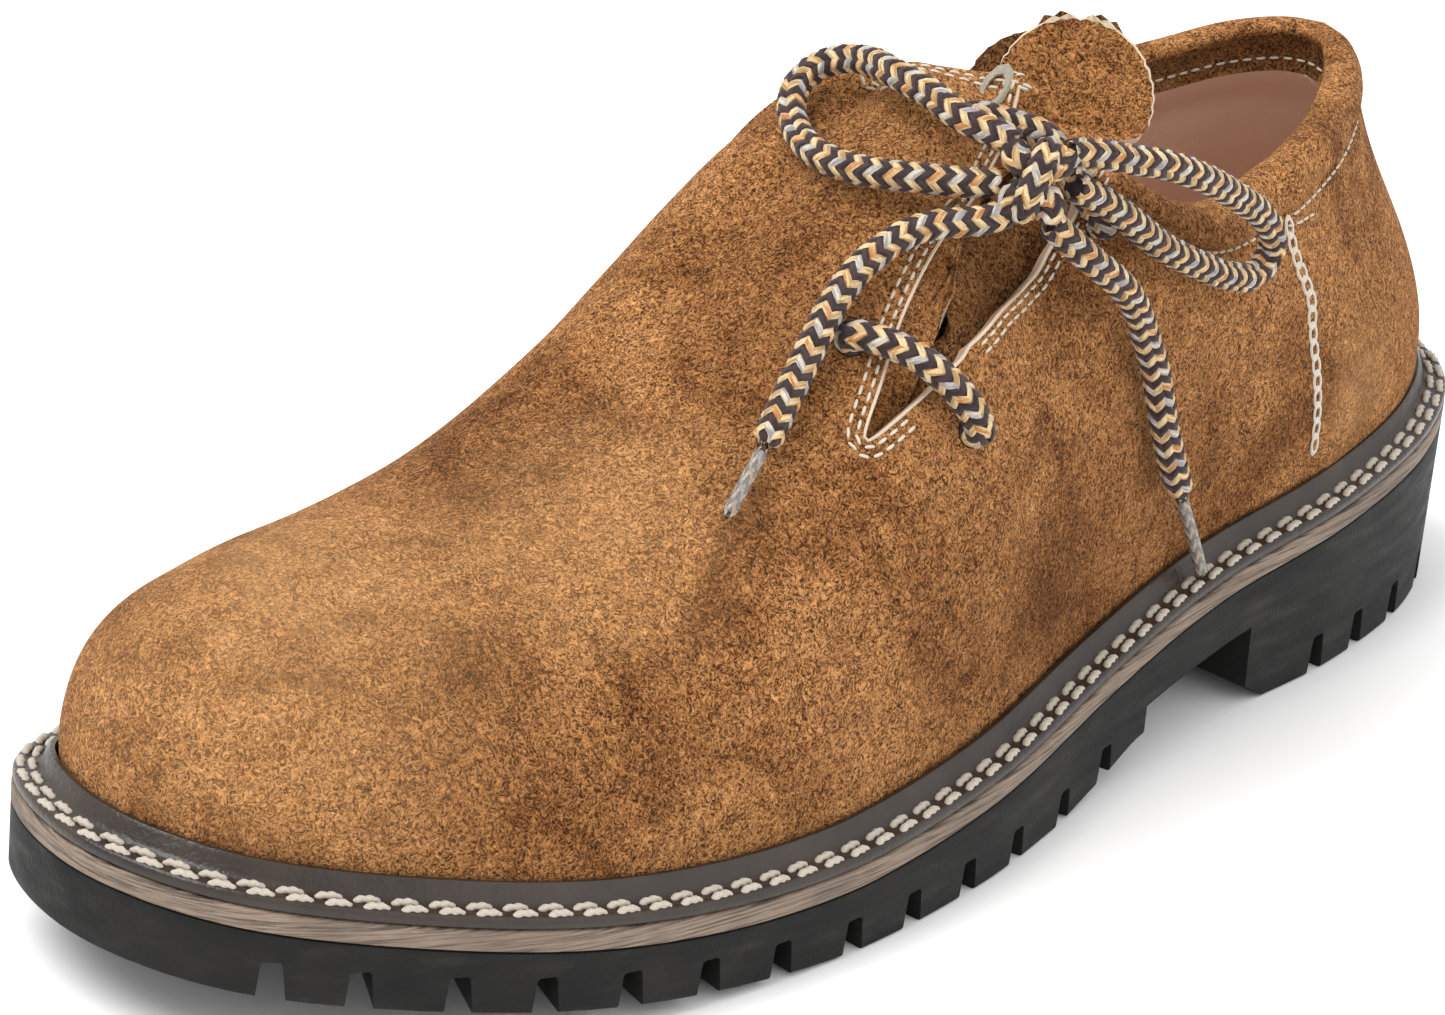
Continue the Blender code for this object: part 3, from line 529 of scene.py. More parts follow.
def joined(name: str, pieces: Sequence[bpy.types.Object]) -> bpy.types.Object:
    """Joins pieces into the first of them.

    Args:
        name: The joined piece's name.
        pieces: The pieces.

    Returns:
        The joined piece.
    """
    make_active(pieces[0])
    for piece in pieces:
        piece.select_set(True)
    bpy.ops.object.join()
    pieces[0].name = pieces[0].data.name = name
    return pieces[0]


def rounded(piece: bpy.types.Object, angle: float = 40) -> bpy.types.Object:
    """Shades a piece smooth, apart from its sharp edges.

    Args:
        piece: The piece.
        angle: The angle in degrees from which an edge stays sharp.

    Returns:
        The piece.
    """
    make_active(piece)
    bpy.ops.object.shade_smooth_by_angle(angle=math.radians(angle))
    return piece


def apply_modifier(piece: bpy.types.Object, kind: str, **settings: object) -> None:
    """Adds one modifier and applies it.

    Args:
        piece: The piece.
        kind: Blender's name for the modifier.
        settings: Its settings by name.
    """
    made = piece.modifiers.new(kind.lower(), kind)
    for key, value in settings.items():
        setattr(made, key, value)
    make_active(piece)
    bpy.ops.object.modifier_apply(modifier=made.name)


def cut_away(piece: bpy.types.Object, cutter: bpy.types.Object) -> None:
    """Cuts one piece with another, which is then deleted."""
    apply_modifier(
        piece, "BOOLEAN", operation="DIFFERENCE", solver="EXACT", object=cutter, material_mode="TRANSFER"
    )
    bpy.data.objects.remove(cutter)


def repeat(name: str, base: bpy.types.Object, frames: np.ndarray, origins: np.ndarray) -> bpy.types.Object:
    """Sets copies of a small piece into one mesh.

    Args:
        name: The new piece's name.
        base: The piece to copy, which is then deleted.
        frames: One 3 by 3 matrix for each copy, with the copy's own axes as columns.
        origins: One place for each copy.

    Returns:
        The new piece.
    """
    mesh = base.data
    verts, corner = np.empty(len(mesh.vertices) * 3, np.float32), np.empty(len(mesh.loops), np.int32)
    starts = np.empty(len(mesh.polygons), np.int32)
    mesh.vertices.foreach_get("co", verts)
    mesh.loops.foreach_get("vertex_index", corner)
    mesh.polygons.foreach_get("loop_start", starts)
    verts = verts.reshape(-1, 3)
    count = len(origins)
    placed = np.einsum("kij,vj->kvi", frames, verts) + origins[:, None, :]
    step = np.arange(count)[:, None]
    made = bpy.data.meshes.new(name)
    made.vertices.add(count * len(verts))
    made.loops.add(count * len(corner))
    made.polygons.add(count * len(starts))
    made.vertices.foreach_set("co", placed.astype(np.float32).ravel())
    made.loops.foreach_set("vertex_index", (corner + step * len(verts)).astype(np.int32).ravel())
    made.polygons.foreach_set("loop_start", (starts + step * len(corner)).astype(np.int32).ravel())
    made.update(calc_edges=True)
    made.validate()
    bpy.data.objects.remove(base)
    piece = bpy.data.objects.new(name, made)
    bpy.context.scene.collection.objects.link(piece)
    return rounded(piece, 60)


def unit(vectors: np.ndarray) -> np.ndarray:
    """Returns vectors of length 1."""
    return vectors / np.maximum(np.linalg.norm(vectors, axis=-1, keepdims=True), 1e-12)


def spaced(points: np.ndarray, step: float) -> np.ndarray:
    """Spaces points evenly along a smooth curve.

    Args:
        points: The points that the curve goes through.
        step: About how far apart the new ones are.

    Returns:
        The new points.
    """
    points = np.asarray(points, float)
    arc = np.concatenate([[0], np.cumsum(np.linalg.norm(np.diff(points, axis=0), axis=1))])
    dense = np.linspace(0, arc[-1], max(8 * len(points), 60))
    curve = np.stack([smooth(arc, points[:, k], dense) for k in range(3)], axis=1)
    arc = np.concatenate([[0], np.cumsum(np.linalg.norm(np.diff(curve, axis=0), axis=1))])
    at = np.linspace(0, arc[-1], max(3, round(arc[-1] / step) + 1))
    return np.stack([np.interp(at, arc, curve[:, k]) for k in range(3)], axis=1)


def carried_frames(points: np.ndarray) -> tuple[np.ndarray, np.ndarray, np.ndarray]:
    """Carries a frame along a path without a twist.

    Args:
        points: The path.

    Returns:
        The ways along it, and two ways across it.
    """
    ahead = unit(np.gradient(points, axis=0))
    side = np.empty_like(points)
    side[0] = unit(np.cross(ahead[0], (0.3, 0.2, 0.93)))
    for k in range(1, len(points)):
        side[k] = unit(side[k - 1] - ahead[k] * (side[k - 1] @ ahead[k]))
    return ahead, side, np.cross(ahead, side)


class Surface:
    """The face of a piece that seams are laid on."""

    def __init__(self, piece: bpy.types.Object) -> None:
        """Reads the piece's mesh as it is now."""
        self.tree = BVHTree.FromPolygons(
            [vert.co for vert in piece.data.vertices], [face.vertices[:] for face in piece.data.polygons]
        )

    def snap(self, points: np.ndarray, lift: float = 0) -> tuple[np.ndarray, np.ndarray]:
        """Lays points on the face.

        Args:
            points: The points, near the face.
            lift: How far to lift them off it.

        Returns:
            The laid points, and the ways out of the face there.
        """
        found = [self.tree.find_nearest(Vector(point))[:2] for point in points]
        normals = unit(np.array([normal[:] for _, normal in found]))
        for _ in range(2):
            between = normals[:-2] + normals[1:-1] * 2 + normals[2:]
            normals = unit(np.concatenate([normals[:1], between, normals[-1:]]))
        return np.array([place[:] for place, _ in found]) + normals * lift, normals


class Thread(Enum):
    """The kinds of stitch on the shoe."""

    FINE = "fine"
    WELT = "welt"
    CHAIN = "chain"


def stitch(kind: Thread, length: float, width: float) -> bpy.types.Object:
    """Models one stitch along X with its middle at the origin.

    Args:
        kind: A plain stitch, a two-ply welt stitch or a link of a chain.
        length: End to end.
        width: The thread's thickness, or the link's width.

    Returns:
        The stitch.
    """
    if kind is Thread.CHAIN:
        deselect()
        bpy.ops.mesh.primitive_torus_add(
            major_segments=10, minor_segments=5, major_radius=0.5, minor_radius=0.16, location=(0, 0, 0)
        )
        link = bpy.context.object
        bpy.ops.object.mode_set(mode="EDIT")
        bpy.ops.transform.resize(value=(length, width, width * 0.9))
        bpy.ops.object.mode_set(mode="OBJECT")
        return link
    rings, sides = (13, 9) if kind is Thread.WELT else (7, 6)
    s, turn = np.linspace(-1, 1, rings)[:, None], np.linspace(0, 2 * math.pi, sides + 1)[None, :]
    thick = width / 2 * np.sqrt(np.maximum(1 - np.abs(s) ** 3.2, 0))
    if kind is Thread.WELT:
        thick = thick * (1 + 0.20 * np.cos(2 * turn - 9.5 * s))
    dip = -np.abs(s) ** 3 * width * 0.45
    ahead, across, up = s * length / 2 + 0 * turn, thick * np.cos(turn), thick * np.sin(turn) * 0.9 + dip
    return close_up(grid_piece("stitch", np.stack([ahead, across, up], axis=-1)), 1e-6)


def sew(
    name: str, on: Surface, line: np.ndarray, pitch: float, kind: Thread, size: tuple[float, float],
    offset: float = 0, start: float = 0, lift: float = 0.0001, slant: float = 0,
) -> bpy.types.Object:
    """Sews a row of stitches along a line.

    Args:
        name: The row's name.
        on: The face that carries the row.
        line: Points of the line, near the face.
        pitch: From one stitch to the next.
        kind: The kind of stitch.
        size: A stitch's length and width.
        offset: How far to the left of the line the row runs, seen from outside.
        start: Where the first stitch's middle lies, in pitches.
        lift: How far the stitches stand off the face.
        slant: A turn of each stitch across the row, in radians.

    Returns:
        The row, as one piece.
    """
    base, normals = on.snap(spaced(line, pitch / 4))
    aside = np.cross(normals, unit(np.gradient(base, axis=0)))
    run, normals = on.snap(base + aside * offset, lift)
    arc = np.concatenate([[0], np.cumsum(np.linalg.norm(np.diff(run, axis=0), axis=1))])
    at = np.arange(start * pitch, arc[-1] - size[0] * 0.4, pitch)
    reach = size[0] / 3

    def read(rows: np.ndarray, places: np.ndarray) -> np.ndarray:
        """Returns rows read at places along the row."""
        return np.stack([np.interp(places, arc, rows[:, k]) for k in range(3)], axis=1)

    origin, out = read(run, at), unit(read(normals, at))
    ahead = read(run, at + reach) - read(run, at - reach)
    ahead = unit(ahead - out * (ahead * out).sum(axis=1)[:, None])
    across = np.cross(out, ahead)
    turned = ahead * math.cos(slant) + across * math.sin(slant)
    aside = across * math.cos(slant) - ahead * math.sin(slant)
    return repeat(name, stitch(kind, *size), np.stack([turned, aside, out], axis=-1), origin)


def cord_line(name: str, points: np.ndarray, thick: float | np.ndarray, sides: int = 8) -> bpy.types.Object:
    """Builds a thin closed tube.

    Args:
        name: Its name.
        points: The points along its middle.
        thick: Its thickness, or one for each point.
        sides: Its flat sides.

    Returns:
        The tube.
    """
    ahead, side, up = carried_frames(points)
    turn = np.linspace(0, 2 * math.pi, sides + 1)[None, :, None]
    size = np.full(len(points), 0.5) * thick
    size[[0, -1]] = 0
    ring = points[:, None] + size[:, None, None] * (side[:, None] * np.cos(turn) + up[:, None] * np.sin(turn))
    return rounded(close_up(grid_piece(name, ring), 1e-6), 60)


class Nodes:
    """Builds the nodes of one material."""

    def __init__(self, name: str, roughness: float, **sockets: float) -> None:
        """Starts a material.

        Args:
            name: Its name.
            roughness: Its roughness.
            sockets: Plain values for other sockets of its shader, with _ for a space.
        """
        self.material = bpy.data.materials.new(name)
        self.material.use_nodes = True
        self.tree = self.material.node_tree
        self.shader = self.tree.nodes["Principled BSDF"]
        self.shader.inputs["Roughness"].default_value = roughness
        for socket, value in sockets.items():
            self.shader.inputs[socket.replace("_", " ")].default_value = value
        here = self.add("ShaderNodeTexCoord")
        self.place, self.uv = here.outputs["Object"], here.outputs["UV"]

    def add(self, kind: str, **settings: object) -> bpy.types.Node:
        """Adds one node.

        Args:
            kind: Blender's name for the node.
            settings: Its settings by name.

        Returns:
            The node.
        """
        node = self.tree.nodes.new(kind)
        for key, value in settings.items():
            setattr(node, key, value)
        return node

    def put(self, value: object, socket: bpy.types.NodeSocket) -> None:
        """Links a socket, or sets a plain value."""
        if isinstance(value, bpy.types.NodeSocket):
            self.tree.links.new(value, socket)
        else:
            socket.default_value = value

    def stretched(self, scale: Sequence[float], of: object = None) -> bpy.types.NodeSocket:
        """Scales a place along each axis.

        Args:
            scale: The three factors.
            of: The place, if it isn't the object's own.

        Returns:
            The scaled place.
        """
        node = self.add("ShaderNodeMapping")
        self.put(of or self.place, node.inputs["Vector"])
        node.inputs["Scale"].default_value = scale
        return node.outputs["Vector"]

    def speckle(
        self, scale: float, detail: float = 3, at: object = None, warp: float = 0
    ) -> bpy.types.NodeSocket:
        """Adds a noise.

        Args:
            scale: Lumps in a metre.
            detail: Finer layers of the noise.
            at: The place, if it isn't the object's own.
            warp: How far the noise twists itself.

        Returns:
            The noise's value.
        """
        node = self.add("ShaderNodeTexNoise")
        self.put(at or self.place, node.inputs["Vector"])
        for socket, value in (("Scale", scale), ("Detail", detail), ("Roughness", 0.6), ("Distortion", warp)):
            node.inputs[socket].default_value = value
        return node.outputs["Fac"]

    def spread(
        self, value: object, low: float, high: float, first: float = 0, last: float = 1
    ) -> bpy.types.NodeSocket:
        """Takes a value between two limits to another range.

        Args:
            value: The value.
            low: Its lower limit, or its upper one where that comes first.
            high: The other limit.
            first: The result at low.
            last: The result at high.

        Returns:
            The result.
        """
        node = self.add("ShaderNodeMapRange")
        for socket, given in zip(node.inputs, (value, low, high, first, last)):
            self.put(given, socket)
        return node.outputs["Result"]

    def sums(self, operation: str, first: object, second: object) -> bpy.types.NodeSocket:
        """Works out one value from two.

        Args:
            operation: Blender's name for it.
            first: The first value.
            second: The second value.

        Returns:
            The result.
        """
        node = self.add("ShaderNodeMath", operation=operation)
        self.put(first, node.inputs[0])
        self.put(second, node.inputs[1])
        return node.outputs[0]

    def blend(self, share: object, first: object, second: object, mode: str = "MIX") -> bpy.types.NodeSocket:
        """Mixes two colours.

        Args:
            share: The second colour's share.
            first: The first colour.
            second: The second colour.
            mode: Blender's name for the way of mixing.

        Returns:
            The mix.
        """
        node = self.add("ShaderNodeMix", data_type="RGBA", blend_type=mode)
        for socket, value in ((0, share), (6, first), (7, second)):
            opaque = (*value, 1) if isinstance(value, tuple) and len(value) == 3 else value
            self.put(opaque, node.inputs[socket])
        return node.outputs[2]

    def near(self, centre: Sequence[float], reach: float, strength: float) -> bpy.types.NodeSocket:
        """Marks the surroundings of a place.

        Args:
            centre: The place.
            reach: How far the mark goes.
            strength: Its value at the place.

        Returns:
            The strength there, falling to nothing at the reach.
        """
        node = self.add("ShaderNodeVectorMath", operation="DISTANCE")
        self.put(self.place, node.inputs[0])
        node.inputs[1].default_value = centre
        return self.spread(node.outputs["Value"], reach, reach * 0.2, 0, strength)

    def bump(
        self, height: object, depth: float, strength: float = 1, over: object = None
    ) -> bpy.types.NodeSocket:
        """Bends the normal by a relief.

        Args:
            height: The relief, 0 to 1.
            depth: Its depth in metres.
            strength: Its share of the full effect.
            over: The normal that it is laid on.

        Returns:
            The bent normal.
        """
        node = self.add("ShaderNodeBump")
        node.inputs["Strength"].default_value = strength
        node.inputs["Distance"].default_value = depth
        self.put(height, node.inputs["Height"])
        if over:
            self.put(over, node.inputs["Normal"])
        return node.outputs["Normal"]

    def done(self, colour: object, normal: object = None, roughness: object = None) -> bpy.types.Material:
        """Sets what varies over the surface.

        Args:
            colour: Its colour.
            normal: Its bent normal.
            roughness: Its roughness.

        Returns:
            The material.
        """
        self.put((*colour, 1) if isinstance(colour, tuple) else colour, self.shader.inputs["Base Color"])
        if normal:
            self.put(normal, self.shader.inputs["Normal"])
        if roughness:
            self.put(roughness, self.shader.inputs["Roughness"])
        return self.material


@dataclass(frozen=True)
class Suede:
    """Nubuck with a short nap: cloudy patches, a finer mottle and single fibres, with painted highlights on the
    fibre tips and painted shade in the crevices between them.
    """

    name: str
    mid: Colour = (0.500, 0.200, 0.062)
    light: Colour = (0.680, 0.320, 0.125)
    dark: Colour = (0.230, 0.076, 0.020)
    tips: Colour = (1.000, 0.490, 0.180)
    crevice_shade: Colour = (0.050, 0.013, 0.002)
    shade: float = 1
    patches: tuple[tuple[Colour, float, float], ...] = ()

    def material(self) -> bpy.types.Material:
        """Returns the suede, with its listed patches: darker ones (below 0) of painted shade and lighter ones
        of painted highlight, each partly the suede's own uneven tone.
        """
        nodes = Nodes(
            self.name, 0.92, Sheen_Weight=0.06, Sheen_Roughness=0.45, Specular_IOR_Level=0.08,
        )
        nodes.shader.inputs["Sheen Tint"].default_value = (1.0, 0.80, 0.58, 1)
        light, mid, dark, tips, crevice_shade = (
            tuple(part * self.shade for part in tone)
            for tone in (self.light, self.mid, self.dark, self.tips, self.crevice_shade)
        )
        cloud = nodes.speckle(30, 4, warp=0.8)
        brushed = nodes.speckle(75, 3, nodes.stretched((1, 0.45, 1.3)), 1.5)
        mottle = nodes.speckle(260, 4, warp=1.2)
        strands = nodes.speckle(640, 3, warp=3.0)
        nap = nodes.speckle(1400, 3, warp=2.0)
        colour = nodes.blend(nodes.spread(cloud, 0.40, 0.66, 0, 0.55), mid, light)
        colour = nodes.blend(nodes.spread(cloud, 0.52, 0.30, 0, 0.55), colour, dark)
        colour = nodes.blend(nodes.spread(brushed, 0.48, 0.70, 0, 0.35), colour, light)
        colour = nodes.blend(nodes.spread(brushed, 0.48, 0.30, 0, 0.35), colour, dark)
        # Strands and nap: tips lighter and crevices near-black, following the noise that also raises the bump,
        # so the tips carry a painted highlight and the crevices painted shade over the fibres' own tone.
        colour = nodes.blend(nodes.spread(strands, 0.50, 0.60, 0, 0.62), colour, tips)
        colour = nodes.blend(nodes.spread(strands, 0.49, 0.39, 0, 0.88), colour, crevice_shade)
        colour = nodes.blend(nodes.spread(nap, 0.52, 0.64, 0, 0.45), colour, tips)
        colour = nodes.blend(nodes.spread(nap, 0.48, 0.37, 0, 0.70), colour, crevice_shade)
        # The first colour darkens the low clouds as the suede's own uneven tone, and the mottle's hollows and
        # the darker patches as painted shade; the second lightens the lighter patches as painted highlight,
        # partly the suede's own tone.
        dark_tone_and_shade, highlight_and_light_tone = (0.40, 0.30, 0.22), (0.98, 0.55, 0.24)
        colour = nodes.blend(nodes.spread(cloud, 0.50, 0.34, 0, 0.60), colour, dark_tone_and_shade, "MULTIPLY")
        colour = nodes.blend(nodes.spread(mottle, 0.50, 0.34, 0, 0.35), colour, dark_tone_and_shade, "MULTIPLY")
        # Listed patches: darker ones are painted shade, lighter ones painted highlight, each partly the suede's
        # own uneven tone.
        for centre, reach, strength in self.patches:
            uneven = nodes.spread(brushed, 0.25, 0.65, 0.55, 1.2)
            share = nodes.sums("MULTIPLY", nodes.near(centre, reach, abs(strength)), uneven)
            if strength > 0:
                colour = nodes.blend(share, colour, highlight_and_light_tone)
            else:
                colour = nodes.blend(share, colour, dark_tone_and_shade, "MULTIPLY")
        relief = nodes.bump(strands, 0.0022, 0.8, nodes.bump(nap, 0.0010, 0.7))
        rough = nodes.spread(nap, 0.2, 0.8, 0.98, 0.84)
        return nodes.done(colour, nodes.bump(mottle, 0.0016, 0.35, relief), rough)


@dataclass(frozen=True)
class Leather:
    """Smooth leather with a fine grain."""

    name: str
    colour: Colour
    worn: Colour
    roughness: float = 0.5
    grain: float = 1400
    relief: float = 0.0004

    def material(self) -> bpy.types.Material:
        """Returns the leather."""
        nodes = Nodes(self.name, self.roughness, Specular_IOR_Level=0.4)
        cloud, pores = nodes.speckle(55, 4), nodes.speckle(self.grain, 3)
        colour = nodes.blend(nodes.spread(cloud, 0.35, 0.7), self.colour, self.worn)
        rough = nodes.spread(pores, 0.3, 0.7, self.roughness * 0.85, min(1, self.roughness * 1.2))
        return nodes.done(colour, nodes.bump(pores, self.relief, 0.6), rough)


@dataclass(frozen=True)
class Grained:
    """The layer under the welt, with a fine grain along the sole."""

    name: str = "midsole_grain"
    colour: Colour = (0.270, 0.200, 0.150)
    streak: Colour = (0.060, 0.042, 0.031)

    def material(self) -> bpy.types.Material:
        """Returns the grained layer."""
        nodes = Nodes(self.name, 0.62, Specular_IOR_Level=0.3)
        lines = nodes.speckle(60, 5, nodes.stretched((1.6, 0.8, 42)), 0.6)
        fine = nodes.speckle(300, 3, nodes.stretched((1, 0.7, 14)))
        cloud = nodes.speckle(60, 3)
        colour = nodes.blend(nodes.spread(lines, 0.47, 0.60, 0, 0.85), self.colour, self.streak)
        colour = nodes.blend(nodes.spread(fine, 0.5, 0.75, 0, 0.5), colour, (0.42, 0.34, 0.27))
        colour = nodes.blend(nodes.spread(cloud, 0.4, 0.7, 0, 0.4), colour, self.streak)
        return nodes.done(colour, nodes.bump(lines, 0.0004, 0.7, nodes.bump(fine, 0.0002, 0.5)))


@dataclass(frozen=True)
class Rubber:
    """Matte moulded rubber with a dusty bloom."""

    name: str = "sole_rubber"
    colour: Colour = (0.0065, 0.0060, 0.0058)
    bloom: Colour = (0.0135, 0.0125, 0.0118)

    def material(self) -> bpy.types.Material:
        """Returns the rubber."""
        nodes = Nodes(self.name, 0.62, Specular_IOR_Level=0.22)
        cloud, pits = nodes.speckle(70, 4), nodes.speckle(1500, 3)
        rubbed = nodes.speckle(120, 4, nodes.stretched((1, 0.5, 3)))
        colour = nodes.blend(nodes.spread(cloud, 0.4, 0.7), self.colour, self.bloom)
        colour = nodes.blend(nodes.spread(rubbed, 0.58, 0.75, 0, 0.45), colour, (0.033, 0.031, 0.029))
        return nodes.done(colour, nodes.bump(pits, 0.0004, 0.5), nodes.spread(rubbed, 0.3, 0.7, 0.72, 0.52))


@dataclass(frozen=True)
class Yarn:
    """Twisted thread or a plait of the lace, with single fibres along its UV."""

    name: str
    colour: Colour
    second: Colour
    fibres: float = 5
    roughness: float = 0.75

    def material(self) -> bpy.types.Material:
        """Returns the yarn."""
        nodes = Nodes(self.name, self.roughness, Sheen_Weight=0.15, Specular_IOR_Level=0.3)
        lay = nodes.speckle(1, 2, nodes.stretched((self.fibres, 6, 1), nodes.uv))
        fuzz = nodes.speckle(2500, 2)
        colour = nodes.blend(nodes.spread(lay, 0.42, 0.60), self.colour, self.second)
        # Darker specks where the fuzz noise is low, which the same noise also sinks in the bump: painted shade
        # between the fibres.
        deep = tuple(part * 0.35 for part in self.colour)
        colour = nodes.blend(nodes.spread(fuzz, 0.6, 0.3, 0, 0.35), colour, deep)
        return nodes.done(colour, nodes.bump(lay, 0.0003, 0.8, nodes.bump(fuzz, 0.0002, 0.5)))


@dataclass(frozen=True)
class ClearTip:
    """The clear sleeve at a lace's end."""

    name: str = "clear_tip"

    def material(self) -> bpy.types.Material:
        """Returns the clear plastic."""
        nodes = Nodes(self.name, 0.18, Transmission_Weight=0.85, IOR=1.45, Specular_IOR_Level=0.6)
        ripples = nodes.speckle(700, 2)
        return nodes.done((0.93, 0.90, 0.84), nodes.bump(ripples, 0.0003, 0.5))


@dataclass(frozen=True)
class Studio:
    """The pale floor's paint."""

    name: str = "studio_floor"

    def material(self) -> bpy.types.Material:
        """Returns the floor's paint."""
        nodes = Nodes(self.name, 0.9, Specular_IOR_Level=0.1)
        cloud = nodes.speckle(3, 2)
        return nodes.done(nodes.blend(nodes.spread(cloud, 0.3, 0.7), (0.93, 0.93, 0.93), (0.95, 0.95, 0.95)))


def dress(
    piece: bpy.types.Object, slot: str, *materials: bpy.types.Material, nodes: Sequence[str] = ()
) -> bpy.types.Object:
    """Gives a piece its materials and its body, and hides the solids that it stands for.

    Args:
        piece: The piece.
        slot: Not used.
        materials: The materials, in the order of the mesh's own slots.
        nodes: The CAD nodes that the piece replaces.

    Returns:
        The piece.
    """
    if materials:
        kept = np.zeros(len(piece.data.polygons), np.int32)
        piece.data.polygons.foreach_get("material_index", kept)
        piece.data.materials.clear()
        for material in materials:
            piece.data.materials.append(material)
        piece.data.polygons.foreach_set("material_index", np.minimum(kept, len(materials) - 1))
    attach(piece, "root")
    if nodes:
        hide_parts(*nodes)
    LOG.info("%s: %d faces", piece.name, len(piece.data.polygons))
    return piece


@dataclass
class Sole:
    """Outsole, midsole and the layers' edges."""

    stations: int = 260
    arch_start: float = ARCH_START
    heel_front: float = HEEL_FRONT
    heel_chamfer: float = HEEL_CHAMFER
    taper: float = 0.50            # how far a groove narrows upwards, as a share
    below: float = 0.004           # how far a groove's cutter stands out of the tread and its edge
    heel_deeper: float = 0.001
    groove_edge: float = 0.0006
    round_edge: float = 0.0005
    lap: float = 0.012             # how far the layer's flat faces reach in before they close

    def slab(self, name: str, under: Height, over: Height) -> bpy.types.Object:
        """Builds a closed layer under the whole foot.

        Args:
            name: The layer's name.
            under: Height of its underside at y.
            over: Height of its top at y.

        Returns:
            The layer, with slightly rounded edges.
        """
        ease = (1 - np.cos(np.linspace(0, math.pi, self.stations))) / 2
        way = 0.6 * np.linspace(0, 1, self.stations) + 0.4 * ease
        r = self.round_edge
        steps = [
            (self.lap, 0, 0), (r, 0, 0), (0.3 * r, 0, 0.3 * r), (0, 0, r), (0, 0.33, 0),
            (0, 0.67, 0), (0, 1, -r), (0.3 * r, 1, -0.3 * r), (r, 1, 0), (self.lap, 1, 0),
        ]
        rows = []
        for side, order in (("out", steps), ("in", steps[::-1])):
            for inset, share, extra in order:
                plan, _ = sole_side(side, inset, way)
                edge, _ = sole_side(side, 0, way)
                low, high = under(edge[:, 1]), over(edge[:, 1])
                rows.append(np.column_stack([plan, low + (high - low) * share + extra]))
        rows.append(rows[0])
        points, count = np.stack(rows), len(steps)
        for end in (0, -1):
            middle = (points[:count, end] + points[2 * count - 1 : count - 1 : -1, end]) / 2
            points[:count, end], points[count : 2 * count, end] = middle, middle[::-1]
            points[2 * count, end] = points[0, end]
        return close_up(grid_piece(name, points))

    def groove(self, centre: Sequence[float], half: Sequence[float], turn: float) -> bpy.types.Object:
        """Builds the cutter of one groove, which narrows upwards.

        Args:
            centre: Its middle.
            half: Half its length, width and height.
            turn: Its turn about the vertical, in radians.

        Returns:
            The cutter.
        """
        deselect()
        bpy.ops.mesh.primitive_cube_add(size=2, location=(0, 0, 0))
        bar = bpy.context.object
        shape = Matrix.Translation(centre) @ Matrix.Rotation(turn, 4, "Z") @ Matrix.Diagonal((*half, 1))
        for vert in bar.data.vertices:
            if vert.co.z > 0:
                vert.co.y *= 1 - self.taper
        bar.data.transform(shape)
        apply_modifier(bar, "BEVEL", width=self.groove_edge, segments=3)
        return bar

    def grooves(self) -> bpy.types.Object:
        """Returns every groove of the tread as one cutter."""
        bars = []
        way = np.linspace(0, 1, 600)
        for shares, heel in ((FORE_GROOVES, False), (HEEL_GROOVES, True)):
            for side, share in ((side, share) for side in ("out", "in") for share in shares):
                edge, out = sole_side(side, 0, way)
                near = np.abs(edge[:, 1] - at_share(share))
                near[edge[:, 0] * (1 if side == "out" else -1) < 0] = 1
                point, away = edge[near.argmin()], out[near.argmin()]
                centre = point - away * (GROOVE_REACH / 2 - self.below)
                depth = GROOVE_DEPTH + (self.heel_deeper if heel else 0)
                floor = float(tread_z(point[1]))
                half = GROOVE_REACH / 2 + self.below, GROOVE / 2, depth / 2 + self.below
                bars.append(self.groove(
                    (centre[0], centre[1], floor + depth / 2 - self.below), half, math.atan2(away[1], away[0])
                ))
        for shares, half in ((FORE_GROOVES[3:-1], 0.19), (HEEL_GROOVES[:-1], 0.11)):
            for first, second in zip(shares, shares[1:]):
                y = at_share((first + second) / 2)
                bars.append(self.groove(
                    (-0.02 * BALL_WIDTH, y, float(tread_z(y)) + GROOVE_DEPTH / 2 - self.below),
                    (half * BALL_WIDTH, GROOVE / 2, GROOVE_DEPTH / 2 + self.below), 0,
                ))
        return joined("grooves", bars)

    def arch(self) -> bpy.types.Object:
        """Returns the cutter that opens the waist in front of the heel."""
        start, front = at_share(self.arch_start), at_share(self.heel_front)
        chamfer = self.heel_chamfer * LENGTH
        roof = [float(rubber_z(np.array([y]))[0]) - WAIST_RUBBER for y in (start, front)]
        profile = [
            (start, -0.01), (start - 0.0008, roof[0]), (front, roof[1]),
            (front + 0.0006, CHAMFER_RISE), (front + chamfer, -0.0002), (front + chamfer, -0.01),
            (start, -0.01),
        ]
        rows = [[(x, y, z) for y, z in profile] for x in (-BALL_WIDTH, BALL_WIDTH)]
        cutter = grid_piece("arch", np.array(rows))
        return capped(cutter, Vector(), Vector((1, 0, 0)))

    def build(self) -> None:
        """Builds and dresses the outsole and the midsole."""
        outsole = self.slab("outsole_body", tread_z, rubber_z)
        cut_away(outsole, self.arch())
        cut_away(outsole, self.grooves())
        dress(rounded(outsole, 35), "outsole_rubber", Rubber().material(), nodes=("outsole",))
        midsole = self.slab("midsole_body", lambda y: rubber_z(y) + 0.0001, midsole_z)
        dress(rounded(midsole, 45), "midsole_layer", Grained().material(), nodes=("midsole",))


